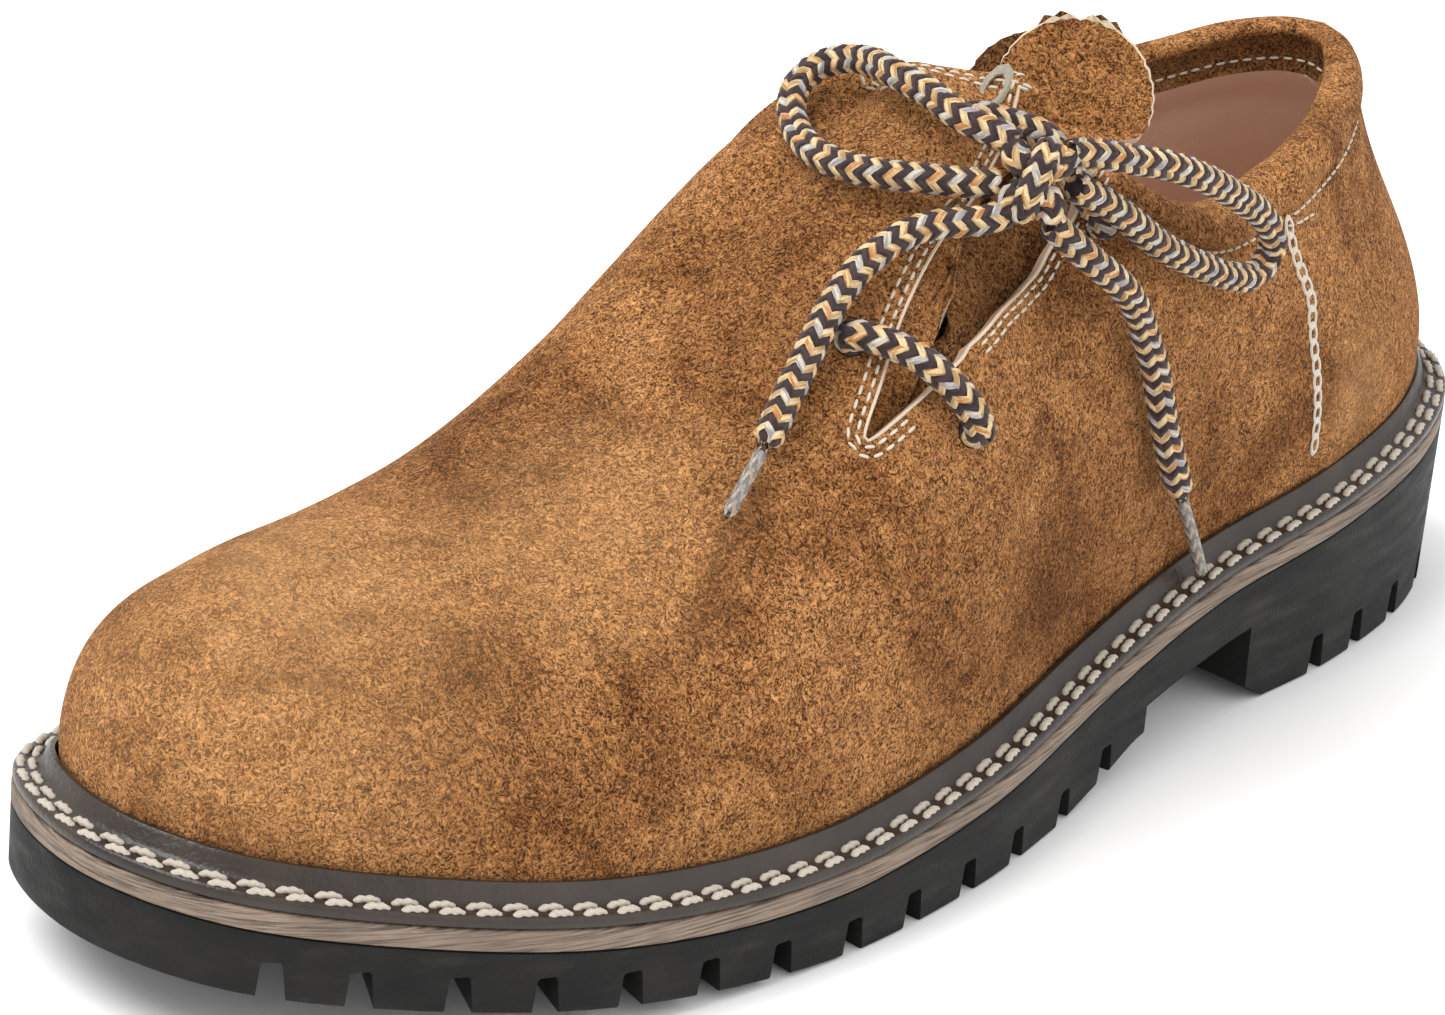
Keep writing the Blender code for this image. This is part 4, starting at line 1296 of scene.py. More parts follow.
@dataclass
class Welt:
    """The stitched welt round the upper, with its storm lip and two rows of thread."""

    stations: int = 300
    pitch: float = 0.00565
    stitch: float = 0.0047
    thread: float = 0.00125
    insets: tuple[float, float] = (0.0012, 0.0031)

    def ring(self) -> bpy.types.Object:
        """Returns the welt."""
        inner = FEATHER - 2 * GAP
        profile = (
            (0.0010, GAP), (0.0003, 0.0004), (0.0001, 0.0009), (0.0001, WELT - 0.0006), (0.0004, WELT - 0.0001),
            (0.0009, WELT + 0.0001), (0.0021, WELT - 0.0001), (0.0036, WELT + 0.0002), (0.0044, WELT + 0.0009),
            (inner - 0.0012, LIP_RISE - 0.0005), (inner - 0.0007, LIP_RISE), (inner, LIP_RISE - 0.0001),
            (inner, 0.0020), (inner, GAP), (0.0010, GAP),
        )
        way = np.linspace(0, 1, self.stations)
        halves = []
        for side in ("out", "in"):
            rows = []
            for inset, rise in profile:
                plan, _ = sole_side(side, inset, way)
                edge, _ = sole_side(side, 0, way)
                rows.append(np.column_stack([plan, midsole_z(edge[:, 1]) + rise]))
            points = np.stack(rows)
            points[:, 0, 0] = [sole_side("out", inset, np.array([0.0]))[0][0, 0] for inset, _ in profile]
            halves.append(grid_piece("welt_half", points))
        return rounded(close_up(joined("welt_ring", halves)), 50)

    def line(self, inset: float) -> np.ndarray:
        """Returns a closed line round the welt, from the toe by the outer side."""
        way = np.linspace(0, 1, 160)
        outer, inner = sole_side("out", inset, way)[0], sole_side("in", inset, way)[0]
        plan = np.vstack([outer, inner[-2::-1]])
        return np.column_stack([plan, midsole_z(plan[:, 1]) + WELT])

    def build(self) -> None:
        """Builds and dresses the welt and its stitches."""
        ring = self.ring()
        on = Surface(ring)
        brown, worn = (0.022, 0.0145, 0.011), (0.045, 0.030, 0.022)
        polished = Leather("welt_leather", brown, worn, 0.30, 900, 0.0003).material()
        dress(ring, "welt_leather", polished, nodes=("welt",))
        yarn = Yarn("welt_thread", (0.62, 0.56, 0.48), (0.36, 0.30, 0.24)).material()
        for name, inset, start in zip(("welt_stitches_outer", "welt_stitches_inner"), self.insets, (0.0, 0.5)):
            row = sew(
                name, on, self.line(inset), self.pitch, Thread.WELT, (self.stitch, self.thread),
                start=start, lift=0.0002, slant=0.08,
            )
            dress(row, "welt_leather", yarn)


@dataclass
class Upper:
    """Vamp, quarters, padded collar and counter as one closed skin, with its seams."""

    vamp_columns: int = 90
    quarter_columns: int = 86
    rows: int = 46
    rim: int = 7
    counter_from: float = COUNTER_FROM
    pad_from: float = PAD_FROM
    pad_depth: float = PAD_DEPTH
    roll_from: float = 0.885       # height up the wall at which the collar's roll starts
    band_from: float = 0.87        # height up the wall at which the collar band starts inside
    gap_cut: float = GAP_CUT
    tack: tuple[float, float] = (0.0080, 0.0036)
    chain: tuple[float, float] = (0.0036, 0.0019)
    chain_pitch: float = 0.0031

    def side(self, side: str, way: np.ndarray) -> tuple[np.ndarray, np.ndarray]:
        """Finds the outer face of one side and its normals, with its low relief.

        Args:
            side: "out" or "in".
            way: The columns, from toe to heel.

        Returns:
            Points and normals, by row from the feather up.
        """
        up = np.linspace(0, 1, self.rows)
        at, height = np.broadcast_arrays(way[None, :], up[:, None])
        inner_at = np.clip(at, 0.004, 0.996)
        face, out = upper_points(side, at, height), upper_normals(side, inner_at, np.clip(height, 0.004, 0.996))
        counter = np.clip((at - self.counter_from) / 0.006, 0, 1) * COUNTER_STEP
        padded = np.clip((at - 0.53) / 0.05, 0, 1)
        roll = np.clip((height - self.roll_from) / 0.115, 0, 1)
        crease = np.exp(-(((height - self.roll_from) / 0.012) ** 2))
        fold = padded * (0.0010 * np.sin(math.pi * roll) - 0.0005 * crease)
        lift = np.array([
            0.00045 * noise.noise(Vector(point) * 26) + 0.00022 * noise.noise(Vector(point) * 75)
            for point in face.reshape(-1, 3)
        ]).reshape(at.shape)
        lift *= np.clip(height / 0.06, 0, 1)
        return face + out * (counter + fold + lift)[..., None], out

    def skin(self, materials: Sequence[bpy.types.Material]) -> bpy.types.Object:
        """Builds the upper, closed and uncut.

        Args:
            materials: Suede, lining and collar band.

        Returns:
            The upper.
        """
        vamp, quarter = np.linspace(0, JOIN, self.vamp_columns), np.linspace(JOIN, 1, self.quarter_columns)
        way = np.concatenate([vamp, quarter[1:]])
        join = self.vamp_columns - 1
        faces = {side: self.side(side, way) for side in ("out", "in")}
        outer = {side: faces[side][0].copy() for side in faces}
        normal = {side: faces[side][1].copy() for side in faces}
        for cells in ((slice(None), 0), (slice(None), -1), (-1, slice(0, join + 1))):
            for parts in (outer, normal):
                shared = (parts["out"][cells] + parts["in"][cells]) / 2
                parts["out"][cells] = parts["in"][cells] = shared
        height = np.linspace(0, 1, self.rows)[:, None]
        rise = np.clip((height - self.pad_depth) / (0.9 - self.pad_depth), 0, 1)
        pad = np.clip((way - self.pad_from) / 0.10, 0, 1)[None, :] * rise**2 * (3 - 2 * rise)
        thick = (WALL + (COLLAR - WALL) * pad)[..., None]
        climb = {side: unit(outer[side][-1] - outer[side][-3]) for side in outer}
        shared = unit(climb["out"][join] + climb["in"][join])
        climb["out"][join] = climb["in"][join] = shared
        halves = []
        for side in outer:
            out = unit(normal[side])
            inner = outer[side] - out * thick
            plan, _ = sole_side(side, FEATHER, way)
            base = np.column_stack([plan, midsole_z(plan[:, 1]) + GAP])
            inner_base = base + (inner[0] - outer[side][0]) * (1, 1, 0)
            turn = np.linspace(0, math.pi, self.rim + 2)[1:-1, None, None]
            middle, half = (outer[side][-1] + inner[-1]) / 2, (inner[-1] - outer[side][-1]) / 2
            depth = np.linalg.norm(half, axis=1)[:, None]
            crown = middle + half * np.cos(turn) + climb[side] * depth * 0.75 * np.sin(turn)
            loop = np.concatenate([
                inner_base[None], inner, crown, outer[side][::-1], base[None], inner_base[None],
            ])
            half_skin = grid_piece("skin_" + side, loop)
            row, column = face_rows(half_skin, len(way))
            lining_rows, crown_end = self.rows, self.rows + self.rim + 1
            kind = np.where(row < lining_rows, 1, 0)
            kind[(row >= self.band_from * self.rows) & (row < lining_rows) & (way[column] > JOIN)] = 2
            half_skin.data.polygons.foreach_set("material_index", kind.astype(np.int32))
            drop_faces(half_skin, (row >= lining_rows) & (row < crown_end) & (column < join))
            halves.append(half_skin)
        for half_skin in halves:
            for material in materials:
                half_skin.data.materials.append(material)
        return close_up(joined("upper_skin", halves))

    def gap_outline(self, count: int = 97) -> tuple[np.ndarray, np.ndarray]:
        """Finds the lacing gap's edge.

        Args:
            count: How many points.

        Returns:
            Its places round and up the outer side.
        """
        steps = np.linspace(0, len(GAP_EDGE.rows) - 1, count)
        return GAP_EDGE.read("around", steps), np.minimum(GAP_EDGE.read("height", steps), 0.999)

    def gap_cutter(self) -> bpy.types.Object:
        """Returns the prism that cuts the lacing gap."""
        around, height = self.gap_outline()
        edge = upper_points("out", around, height)
        through = upper_normals("out", np.array([0.49]), np.array([0.62]))[0]
        beyond = np.array([0, 0, self.gap_cut])
        edge = np.vstack([edge[:1] + beyond, edge, edge[-1:] + beyond, edge[:1] + beyond])
        flat = edge - np.outer((edge - edge.mean(axis=0)) @ through, through)
        reach = through * self.gap_cut
        cutter = grid_piece("gap_cutter", np.stack([flat + reach, flat - reach]))
        return capped(cutter, Vector(flat.mean(axis=0)), Vector(through))

    def eyelet_cutter(self, around: float, height: float) -> bpy.types.Object:
        """Builds the punch of one eyelet.

        Args:
            around: Its way round the feather.
            height: Its height up the wall.

        Returns:
            The punch.
        """
        at = np.array([around]), np.array([height])
        centre, out = upper_points("out", *at)[0], upper_normals("out", *at)[0]
        deselect()
        bpy.ops.mesh.primitive_cylinder_add(vertices=28, radius=EYELET / 2, depth=6 * WALL, location=(0, 0, 0))
        punch = bpy.context.object
        turn = Vector(out).to_track_quat("Z", "Y").to_matrix().to_4x4()
        punch.data.transform(Matrix.Translation(centre) @ turn)
        return punch

    def sew_row(
        self, name: str, on: Surface, line: np.ndarray, offset: float, cream: bpy.types.Material,
        pitch: float = 0.0024, size: tuple[float, float] = (0.0019, 0.00052), kind: Thread = Thread.FINE,
    ) -> None:
        """Sews and dresses one row of the upper's thread.

        Args:
            name: The row's name.
            on: The face that carries it.
            line: Points of its line.
            offset: How far to the left of the line it runs.
            cream: The thread.
            pitch: From one stitch to the next.
            size: A stitch's length and width.
            kind: The kind of stitch.
        """
        row = sew(name, on, line, pitch, kind, size, offset=offset, lift=0.00012)
        dress(row, "upper_suede", cream)

    def line(self, *shares: tuple[float, float], side: str = "out") -> np.ndarray:
        """Draws a line on the outer face.

        Args:
            shares: Places round and up that it goes through.
            side: "out" or "in".

        Returns:
            The line's points.
        """
        at = np.array(shares, float)
        arc = np.arange(len(at))
        fine = np.linspace(0, len(at) - 1, 12 * len(at))
        return upper_points(side, smooth(arc, at[:, 0], fine), smooth(arc, at[:, 1], fine))

    def sew_seams(self, on: Surface) -> None:
        """Sews the rows beside the gap, round the throat and the collar, and the counter's seam.

        Args:
            on: The face that carries them.
        """
        cream = Yarn("cream_thread", (0.74, 0.68, 0.58), (0.50, 0.42, 0.32)).material()
        around, height = self.gap_outline()
        gap = upper_points("out", around, height)
        apex = int(np.argmin(height))
        left, right = gap[: apex - 4], gap[apex + 4:]
        for name, offset in (("gap_row_near", -0.0011), ("gap_row_far", -0.0026)):
            self.sew_row(name + "_front", on, left, offset, cream)
            self.sew_row(name + "_back", on, right, offset, cream)
        rear = np.linspace(0.175, 0.0, 30)
        throat = top_edge("out", JOIN + rear * (1 - JOIN))
        inner = top_edge("in", JOIN + np.linspace(0, 0.25, 40) * (1 - JOIN))
        throat = np.vstack([throat, inner[1:]])
        for name, offset in (("throat_row_near", 0.0017), ("throat_row_far", 0.0033)):
            self.sew_row(name, on, throat, offset, cream)
        collar = (
            (0.612, 0.80), (0.643, 0.841), (0.663, 0.862), (0.69, 0.880), (0.72, 0.885), (0.765, 0.876),
            (0.80, 0.870), (0.84, 0.872), (0.88, 0.878), (0.94, 0.882), (0.998, 0.885),
        )
        self.sew_row("collar_row_outer", on, self.line(*collar), 0, cream)
        inward = tuple((share, 0.885) for share in (0.998, 0.93, 0.86, 0.79, 0.72, 0.66, 0.60))
        self.sew_row("collar_row_inner", on, self.line(*inward, side="in"), 0, cream)
        for side in ("in", "out"):
            at, height = np.linspace(0.60, 0.997, 60), np.full(60, 0.925)
            inside = upper_points(side, at, height) - upper_normals(side, at, height) * COLLAR
            self.sew_row("collar_band_row_" + side, on, inside, 0, cream)
        seam = (
            (0.7755, 0.845), (0.7765, 0.766), (0.780, 0.657), (0.781, 0.582), (0.778, 0.515), (0.775, 0.444),
            (0.773, 0.335), (0.771, 0.234), (0.770, 0.134), (0.770, 0.03),
        )
        for name, side in (("counter_seam_outer", "out"), ("counter_seam_inner", "in")):
            line = self.line(*seam, side=side)
            self.sew_row(name, on, line, 0, cream, self.chain_pitch, self.chain, Thread.CHAIN)
        self.bar_tack(on, cream)
        cross = self.line((0.799, 0.828), (0.784, 0.842), (0.768, 0.854))
        self.sew_row("counter_cross", on, cross, 0, cream)

    def bar_tack(self, on: Surface, cream: bpy.types.Material) -> None:
        """Sews the oval ring of thread that holds the throat's corner.

        Args:
            on: The face that carries it.
            cream: The thread.
        """
        line = self.line((0.536, 0.965), (0.530, 0.925), (0.523, 0.885))
        spot, out = on.snap(line[[len(line) // 2]], 0.0004)
        way = unit((line[-1] - line[0])[None, :])
        way = unit(way - out * (way * out).sum(axis=1)[:, None])
        frames = np.stack([way, np.cross(out, way), out], axis=-1)
        ring = repeat("bar_tack_ring", stitch(Thread.CHAIN, *self.tack), frames, spot)
        dress(ring, "upper_suede", cream)

    def raw_edges(self, on: Surface) -> None:
        """Lays the pale raw edge of the cut suede along both sides of the gap.

        Args:
            on: The face that it lies on.
        """
        raw = Leather("raw_edge", (0.60, 0.47, 0.34), (0.78, 0.68, 0.55), 0.9, 1800, 0.0006).material()
        around, height = self.gap_outline()
        points, _ = on.snap(spaced(upper_points("out", around, height), 0.001), -0.0001)
        dress(cord_line("gap_raw_edge", points[1:-1], 0.0006, 6), "upper_suede", raw)

    def build(self) -> None:
        """Builds and dresses the upper and its seams."""
        # Darker patches, low on the sides and the toe, at the heel and below the gap, are painted shade;
        # lighter ones, on the toe top, the vamp and the heel, are painted highlight; both partly the suede's
        # own uneven tone.
        suede = Suede("tan_suede", patches=(
            ((0.0395, 0.020, 0.040), 0.030, -0.45), ((0.047, -0.005, 0.036), 0.022, -0.35),
            ((0.034, 0.052, 0.052), 0.020, -0.35), ((-0.005, -0.118, 0.050), 0.045, 0.30),
            ((0.038, 0.118, 0.060), 0.014, -0.55), ((0.036, 0.105, 0.048), 0.018, 0.30),
            ((0.010, -0.070, 0.062), 0.030, 0.20), ((0.020, -0.105, 0.040), 0.026, -0.45),
            ((-0.030, -0.125, 0.034), 0.022, -0.50), ((0.020, -0.030, 0.080), 0.026, -0.35),
        )).material()
        lining = Leather("beige_lining", (0.86, 0.62, 0.49), (0.92, 0.69, 0.56), 0.5).material()
        band = Suede("collar_band", shade=0.62).material()
        raw = Leather("cut_edge", (0.42, 0.26, 0.15), (0.60, 0.45, 0.32), 0.9, 1800, 0.0005).material()
        skin = self.skin((suede, lining, band))
        on = Surface(skin)
        cutter = self.gap_cutter()
        cutter.data.materials.append(raw)
        cut_away(skin, cutter)
        for around, height in EYELETS.values():
            punch = self.eyelet_cutter(around, height)
            punch.data.materials.append(raw)
            cut_away(skin, punch)
        rounded(skin, 50)
        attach(skin, "root")
        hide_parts("upper")
        LOG.info("upper_skin: %d faces", len(skin.data.polygons))
        self.sew_seams(on)
        self.raw_edges(on)


@dataclass
class Tongue:
    """The tongue with its pinked round end, the layer behind it and the strip behind the gap."""

    across: int = 90
    under_rows: int = 26
    near_thick: float = 0.0015
    far_thick: float = 0.0014
    scallop: float = 0.0022
    scallop_depth: float = 0.00035
    far_centre: tuple[float, float, float] = (0.0030, 0.0370, 0.1052)
    far_across: tuple[float, float, float] = (0.86, 0.45, 0.22)
    far_rise: tuple[float, float, float] = (-0.05, 0.45, 0.89)
    far_radius: float = 0.0112

    def lobe(self, centre: np.ndarray, across: np.ndarray, rise: np.ndarray, radius: float) -> np.ndarray:
        """Finds the rows of a round end.

        Args:
            centre: Its middle.
            across: The way across.
            rise: The way up.
            radius: Its size.

        Returns:
            Rows of points from its foot to its top.
        """
        across = unit(across)
        rise = unit(rise - across * (rise @ across))
        out = np.cross(across, rise)
        up = np.concatenate([np.linspace(-0.3, 0.9, 22), [0.94, 0.97, 0.988, 0.997]])[:, None]
        level = np.linspace(-1, 1, self.across)[None, :]
        x, y = np.sqrt(1 - up**2) * level, up + 0 * level
        rho, turn = np.hypot(x, y), np.arctan2(y, x)
        teeth = radius * 2 * math.pi / self.scallop
        wave = np.abs(np.sin(turn * round(teeth) / 2))
        size = radius * (1 + (self.scallop_depth / radius) * wave * np.clip((rho - 0.8) / 0.2, 0, 1))
        cup = -0.07 * radius * rho**2 + 0.03 * radius * np.sin(3 * x + 1.3 * y)
        shape = (size * x)[..., None] * across + (size * y)[..., None] * rise
        return centre + shape + cup[..., None] * -out

    def sheet_of(self, name: str, rows: np.ndarray, thick: float) -> bpy.types.Object:
        """Builds a layer of suede with a pale cut edge.

        Args:
            name: Its name.
            rows: Its face, by row and column.
            thick: Its thickness.

        Returns:
            The layer.
        """
        sheet = grid_piece(name, rows)
        for _ in range(2):
            sheet.data.materials.append(None)
        apply_modifier(sheet, "SOLIDIFY", thickness=thick, offset=-1, material_offset_rim=1)
        return rounded(close_up(sheet, 1e-6), 50)

    def near_layer(self) -> bpy.types.Object:
        """Returns the tongue."""
        across = np.linspace(*TONGUE_ACROSS, self.across)
        rows = [under_vamp(r, across) for r in np.linspace(0, 1, self.under_rows)]
        ahead = unit(unit(rows[-1] - rows[-2]) * (1, 1, 0.4))
        level = np.linspace(-1, 1, self.across)
        base, rise = lobe_row(-0.3, level)
        reach = np.linalg.norm(base - rows[-1], axis=1)[:, None]
        throat = rows[-1]
        for t in np.linspace(0, 1, 14)[1:-1]:
            start, leave = 2 * t**3 - 3 * t**2 + 1, t**3 - 2 * t**2 + t
            end, arrive = 3 * t**2 - 2 * t**3, t**3 - t**2
            rows.append(start * throat + leave * ahead * reach + end * base + arrive * rise * reach * 0.6)
        lobe = self.lobe(*(np.array(part) for part in (LOBE_AT, LOBE_ACROSS, LOBE_RISE)), LOBE)
        return self.sheet_of("tongue_near", np.concatenate([np.stack(rows), lobe]), self.near_thick)

    def far_layer(self) -> bpy.types.Object:
        """Returns the layer that stands behind the tongue's round end, darkened as painted shade."""
        centre, across, rise = (np.array(part) for part in (self.far_centre, self.far_across, self.far_rise))
        lobe = self.lobe(centre, across, rise, self.far_radius)
        level = np.linspace(-1, 1, self.across)[:, None]
        foot = np.array([-0.0050, 0.0150, 0.0985]) + level * (0.0060, -0.0010, 0.0010)
        rows = []
        for t in np.linspace(0, 1, 14)[:-1]:
            sag = np.array([0, 0.004, -0.004]) * math.sin(math.pi * t)
            rows.append(foot * (1 - t) + lobe[0] * t + sag)
        return self.sheet_of("tongue_far", np.concatenate([np.stack(rows), lobe]), self.far_thick)

    def under_wall(self, around: np.ndarray, height: np.ndarray, depth: np.ndarray) -> np.ndarray:
        """Returns points at a depth below the outer side's face."""
        return upper_points("out", around, height) - upper_normals("out", around, height) * depth[:, None]

    def facing(self) -> bpy.types.Object:
        """Returns the strip behind the gap's back edge."""
        rows = []
        for r in np.linspace(0.42, 0.97, 40):
            share = np.linspace(0, 1, 16)
            around = 0.336 + 0.13 * r + 0.10 * r**2 + 0.075 * share
            height = 0.391 + 0.45 * r**3 - 0.10 * share
            depth = 0.0066 - 0.0038 * share**0.7
            rows.append(self.under_wall(around, height, depth))
        return self.sheet_of("gap_facing", np.stack(rows), FACING)

    def backing(self) -> bpy.types.Object:
        """Returns the fold of the tongue that closes the gap from below."""
        rows = []
        for share in np.linspace(0, 1, 30):
            span = np.linspace(0, 1, 24)
            around = 0.372 + 0.10 * share + span * (0.085 + 0.03 * share)
            height = 0.46 + 0.36 * share + (0.5 - span) * 0.16
            depth = 0.0094 + 0.0016 * np.sin(math.pi * span)
            rows.append(self.under_wall(around, height, depth))
        return self.sheet_of("gap_backing", np.stack(rows), FACING)

    def build(self) -> None:
        """Builds and dresses the layers."""
        edge = Leather("pinked_edge", (0.56, 0.42, 0.28), (0.74, 0.62, 0.48), 0.9, 1800, 0.0005).material()
        near = Suede("tongue_suede", shade=1.05).material()
        dress(self.near_layer(), "tongue_suede", near, edge, nodes=("tongue",))
        # The far layer takes the tongue's suede darkened as painted shade behind the near one.
        dress(self.far_layer(), "tongue_suede", Suede("tongue_far_painted_shade", shade=0.55).material(), edge)
        # The strip and the fold behind the gap take the suede darkened as painted shade inside the gap.
        shaded = Suede("facing_suede_painted_shade", shade=0.75).material()
        dress(self.facing(), "tongue_suede", shaded, edge, nodes=("facing",))
        dress(self.backing(), "tongue_suede", shaded, edge)


class Far(Enum):
    """Where a stretch of lace ends."""

    KNOT = "object"
    TIP = "fitting"


@dataclass
class Lace:
    """The round braided lace: crossings, knot, loops, ends and clear tips."""

    strands: int = 8
    radius: float = 0.00205
    pitch: float = 0.0124
    step: float = 0.00055
    swing: float = 0.00026
    width: float = 0.00118
    flat: float = 0.00062
    ease: float = 0.003            # length over which an end narrows
    corners: int = 7               # points round a plait, the last on the first
    lay: float = 0.02              # length of lace that one unit of the UV map spans
    knot: tuple[float, float, float] = KNOT_AT

    def finishes(self) -> list[bpy.types.Material]:
        """Returns the plaits' colours: dark, cream, grey and orange."""
        return [
            Yarn("plait_dark", (0.026, 0.014, 0.015), (0.060, 0.034, 0.034), 5, 0.8).material(),
            Yarn("plait_cream", (0.72, 0.56, 0.32), (0.40, 0.22, 0.08), 5, 0.8).material(),
            Yarn("plait_grey", (0.30, 0.28, 0.29), (0.66, 0.58, 0.46), 5, 0.8).material(),
            Yarn("plait_orange", (0.46, 0.19, 0.055), (0.74, 0.55, 0.30), 5, 0.8).material(),
            Yarn("lace_core", (0.030, 0.022, 0.020), (0.05, 0.035, 0.03), 6, 0.9).material(),
        ]

    def braid(
        self, name: str, plaits: Sequence[bpy.types.Material], points: np.ndarray,
        ends: tuple[float, float] = (1, 1), phase: float = 0, most: float = 1,
    ) -> bpy.types.Object:
        """Builds a braided stretch.

        Args:
            name: Its name.
            plaits: The materials of its plaits and its core.
            points: Its path.
            ends: Its thickness at each end, as shares of the whole.
            phase: A turn of the braid about its path.
            most: Its greatest thickness, as a share of the whole.

        Returns:
            The stretch, with a colour index on each plait.
        """
        path = spaced(points, self.step)
        ahead, side, up = carried_frames(path)
        arc = np.concatenate([[0], np.cumsum(np.linalg.norm(np.diff(path, axis=0), axis=1))])
        start, finish = ends[0] + arc / self.ease, ends[1] + (arc[-1] - arc) / self.ease
        size = np.minimum(most, np.minimum(start, finish))
        s = 2 * math.pi * arc / self.pitch
        tip = np.ones(len(path))
        tip[[0, -1]] = 0
        corner = np.linspace(0, 2 * math.pi, self.corners)
        columns, colours = [], []
        for way in (1, -1):
            for k in range(self.strands):
                turn = way * (s + 2 * math.pi * k / self.strands) + phase
                wave = np.sin(4 * s + math.pi * k) if way > 0 else -np.sin(math.pi * k - 4 * s)
                lift = (self.radius + self.swing * wave - self.flat * 0.2) * size
                around = side * np.cos(turn)[:, None] + up * np.sin(turn)[:, None]
                centre = path + around * lift[:, None]
                lay = unit(np.gradient(centre, axis=0))
                flank = unit(np.cross(around, lay))
                for c in corner:
                    half = self.width / 2 * math.cos(c) * flank + self.flat / 2 * math.sin(c) * around
                    columns.append(centre + half * (size * tip)[:, None])
                colours.append((k % 2) * (1 if way > 0 else (2 if k % 4 == 1 else 3)))
        piece = grid_piece(name, np.stack(columns, axis=1))
        _, column = face_rows(piece, self.corners * 2 * self.strands)
        plait_of = np.array(colours, np.int32)[column // self.corners]
        piece.data.polygons.foreach_set("material_index", plait_of)
        uv = piece.data.uv_layers.active.data
        flat_uv = np.empty(len(uv) * 2, np.float32)
        uv.foreach_get("uv", flat_uv)
        flat_uv = flat_uv.reshape(-1, 2) * (2 * self.strands, arc[-1] / self.lay)
        uv.foreach_set("uv", flat_uv.ravel())
        drop_faces(piece, column % self.corners == self.corners - 1)
        core = cord_line(name + "_core", path[1:-1], 2 * (self.radius - 0.0004) * size[1:-1], 8)
        for part in (piece, core):
            for plait in plaits:
                part.data.materials.append(plait)
        core.data.polygons.foreach_set("material_index", np.full(len(core.data.polygons), 4, np.int32))
        piece = joined(name, [close_up(piece, 1e-7), core])
        return rounded(piece, 60)

    def crossing(self, front: str, back: str) -> np.ndarray:
        """Finds the path of a lace crossing.

        Args:
            front: The eyelet where it starts.
            back: The eyelet where it ends.

        Returns:
            The path's points.
        """
        share = np.array([0, 0, 0.12, 0.3, 0.5, 0.7, 0.88, 1, 1])
        lift = BAR_LIFT * np.array([-0.5, 0.6875, 1, 1.2, 1.3, 1.2, 1, 0.6875, -0.5])
        (around, height), (far_around, far_height) = EYELETS[front], EYELETS[back]
        at = around + (far_around - around) * share, height + (far_height - height) * share
        return upper_points("out", *at) + upper_normals("out", *at) * lift[:, None]

    def knot_paths(self) -> dict[str, np.ndarray]:
        """Returns the knot's stretches: two passes from side to side and the turn that binds them."""
        a, e = math.radians(VIEW_AZIMUTH), math.radians(VIEW_ELEVATION)
        front = np.array([math.sin(a) * math.cos(e), -math.cos(a) * math.cos(e), math.sin(e)])
        right = np.array([math.cos(a), math.sin(a), 0])
        axes = np.stack([right, np.cross(front, right), front])
        middle = np.array(self.knot) / 1000

        def place(rows: Sequence[Sequence[float]]) -> np.ndarray:
            """Returns the places of rows given as right, up and to the front, in millimetres."""
            return middle + np.array(rows) / 1000 @ axes

        turn = np.radians(np.linspace(-200, 190, 16))
        tall, deep = 4.7, 3.1
        wrap = np.stack(
            [0.25 * tall * np.sin(turn) + 0.9 * turn / 3, tall * np.sin(turn), deep * np.cos(turn)], axis=1
        )
        upper = (
            (-3.6, 5.2, 0.1), (-3.4, 3.4, 0.9), (-1.6, 2.0, 1.0), (1.0, 1.9, 0.8), (3.6, 2.9, 0.8),
            (4.8, 4.7, 0.3),
        )
        lower = (
            (-3.6, -5.3, -0.6), (-3.5, -3.6, 0.5), (-1.6, -2.0, 0.9), (1.0, -2.0, 0.7), (2.8, -3.6, 0.5),
            (2.9, -6.3, -0.2),
        )
        return {"knot_upper_pass": place(upper), "knot_lower_pass": place(lower), "knot_wrap": place(wrap)}

    def tip(self, name: str, route: Sequence[Sequence[float]]) -> bpy.types.Object:
        """Returns a clear sleeve round the lace's pressed end."""
        path = spaced(np.array(route) / 1000, 0.0008)
        return cord_line(name, path, AGLET, 16)

    def build(self) -> None:
        """Builds and dresses every stretch."""
        plaits = self.finishes()
        clear = ClearTip().material()
        for name, front, back, node in (
            ("crossing_low", "low_front", "low_back", "lace_bar_low"),
            ("crossing_top", "top_front", "top_back", "lace_bar_top"),
        ):
            dress(self.braid(name, plaits, self.crossing(front, back)), "lace_braid", nodes=(node,))
        knot = [
            dress(self.braid(name, plaits, points, phase=0.4), "lace_braid", nodes=("lace_knot",))
            for name, points in self.knot_paths().items()
        ]
        for name, route, tip_route, node, far in (
            ("loop_front", LOOP_FRONT, None, "lace_loop_front", Far.KNOT),
            ("loop_back", LOOP_BACK, None, "lace_loop_back", Far.KNOT),
            ("end_front", END_FRONT, AGLET_FRONT, "lace_end_front", Far.TIP),
            ("end_back", END_BACK, AGLET_BACK, "lace_end_back", Far.TIP),
        ):
            path = spaced(np.array(route) / 1000, 0.004)
            ends = (0.95, 0.45) if tip_route else (0.95, 0.95)
            stretch = dress(self.braid(name, plaits, path, ends), "lace_braid", nodes=(node,))
            with_pieces = knot if name == "loop_front" else []
            if tip_route:
                tip_node = node.replace("lace_end", "aglet")
                inside = self.braid(
                    name + "_pressed", plaits, np.array(tip_route) / 1000, (0.42, 0.36), most=0.42
                )
                sleeve = self.tip(name + "_sleeve", tip_route)
                with_pieces = [
                    dress(inside, "lace_braid"),
                    dress(sleeve, "aglet_plastic", clear, nodes=(tip_node,)),
                ]


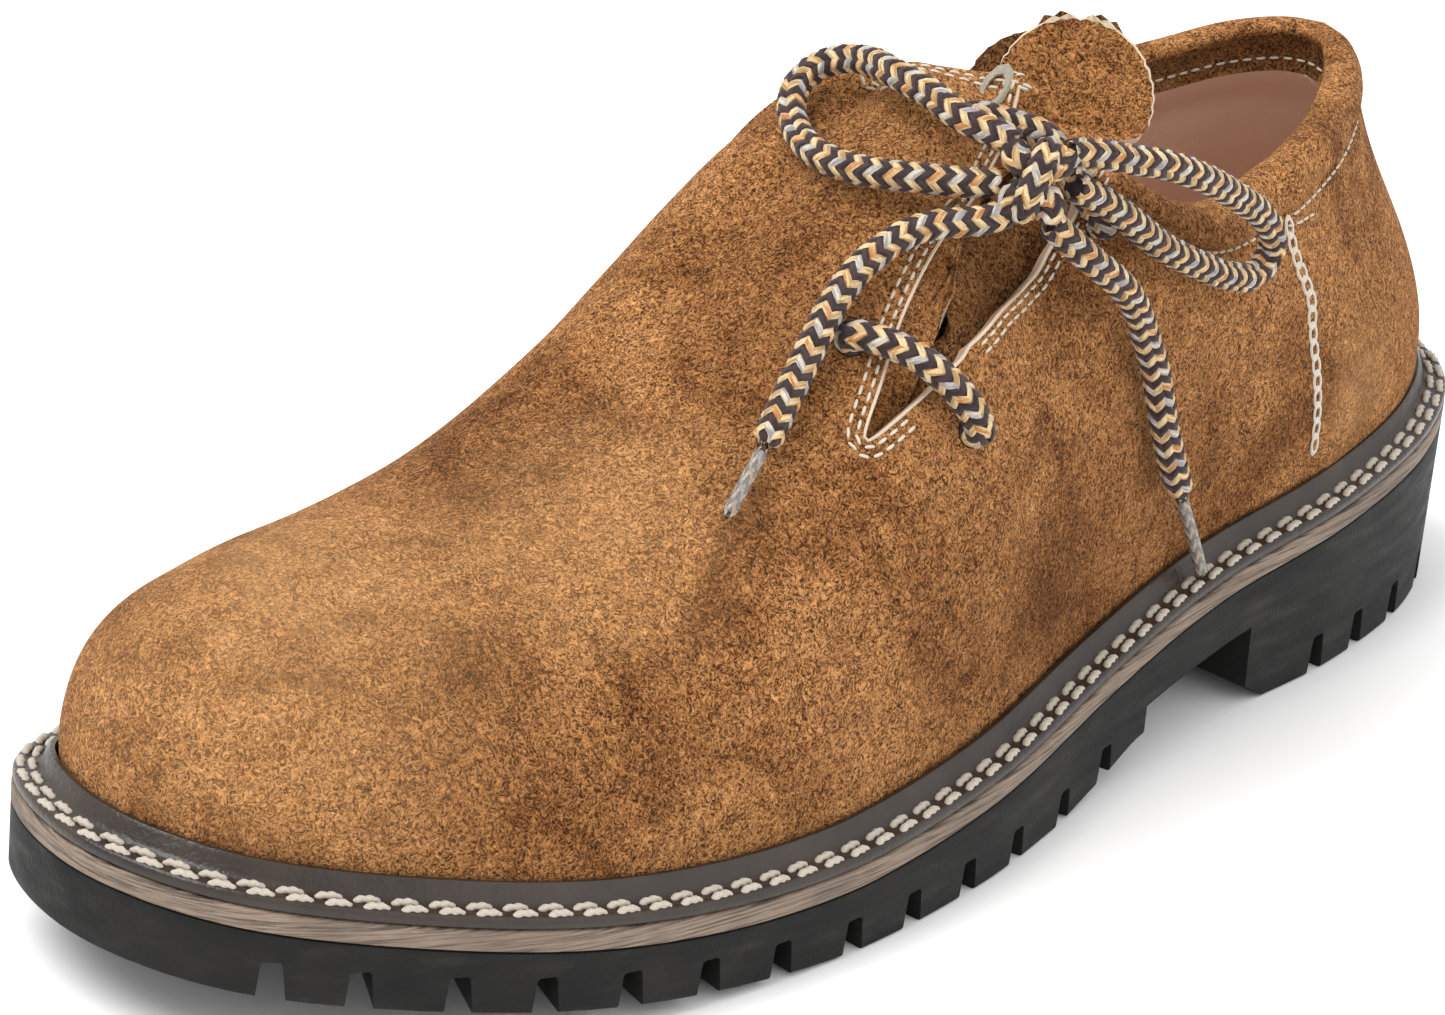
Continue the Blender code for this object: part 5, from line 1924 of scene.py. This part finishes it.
@dataclass
class Photograph:
    """The studio: camera, floor and soft light."""

    azimuth: float = VIEW_AZIMUTH
    elevation: float = VIEW_ELEVATION
    roll: float = 5.55
    place: tuple[float, float, float] = (0.4798, -0.6042, 0.3846)
    lens: float = 129.55
    sun: float = 2.2
    sky: float = 1.00

    def camera(self) -> None:
        """Sets the camera where the photograph was taken from."""
        a, e, r = (math.radians(value) for value in (self.azimuth, self.elevation, self.roll))
        back = Vector((math.sin(a) * math.cos(e), -math.cos(a) * math.cos(e), math.sin(e)))
        right = Vector((math.cos(a), math.sin(a), 0))
        up = back.cross(right)
        turned = (math.cos(r) * right + math.sin(r) * up, -math.sin(r) * right + math.cos(r) * up, back)
        lens = bpy.data.cameras.new("camera")
        lens.lens, lens.sensor_width, lens.sensor_fit = self.lens, 36, "HORIZONTAL"
        lens.clip_start = 0.01
        camera = bpy.data.objects.new("camera", lens)
        camera.matrix_world = Matrix.Translation(self.place) @ Matrix(turned).transposed().to_4x4()
        bpy.context.scene.collection.objects.link(camera)
        bpy.context.scene.camera = camera

    def light(self) -> None:
        """Lights the shoe softly from the upper left."""
        world = bpy.data.worlds.new("studio_sky")
        bpy.context.scene.world = world
        world.use_nodes = True
        world.node_tree.nodes["Background"].inputs["Color"].default_value = (1, 1, 1, 1)
        world.node_tree.nodes["Background"].inputs["Strength"].default_value = self.sky
        for name, strength, angle, aim in (
            ("key", self.sun, 38, (-0.25, -0.42, 0.87)), ("fill", self.sun * 0.25, 60, (0.75, 0.25, 0.45)),
        ):
            lamp = bpy.data.lights.new(name, "SUN")
            lamp.energy, lamp.angle = strength, math.radians(angle)
            holder = bpy.data.objects.new(name, lamp)
            holder.rotation_euler = Vector(aim).to_track_quat("Z", "Y").to_euler()
            bpy.context.scene.collection.objects.link(holder)

    def floor(self) -> None:
        """Lays the pale floor."""
        axis = np.linspace(-4, 4, 5)
        points = np.stack([*np.meshgrid(axis, axis), np.full((5, 5), -0.0001)], axis=-1)
        floor = grid_piece("studio_floor", points)
        floor.data.materials.append(Studio().material())

    def build(self) -> None:
        """Sets up the studio."""
        self.camera()
        self.light()
        self.floor()


def main() -> None:
    """Builds the whole shoe."""
    logging.basicConfig(level=logging.INFO, format="%(name)s: %(message)s")
    bpy.context.scene.view_settings.view_transform = "Standard"
    Photograph().build()
    Lace().build()
    Upper().build()
    Tongue().build()
    Welt().build()
    Sole().build()
    footbed = bpy.data.objects["insole"]
    finish = Leather("footbed_leather", (0.36, 0.21, 0.135), (0.44, 0.275, 0.185), 0.6).material()
    for slot in footbed.material_slots:
        slot.material = finish


if __name__ == "__main__":
    main()
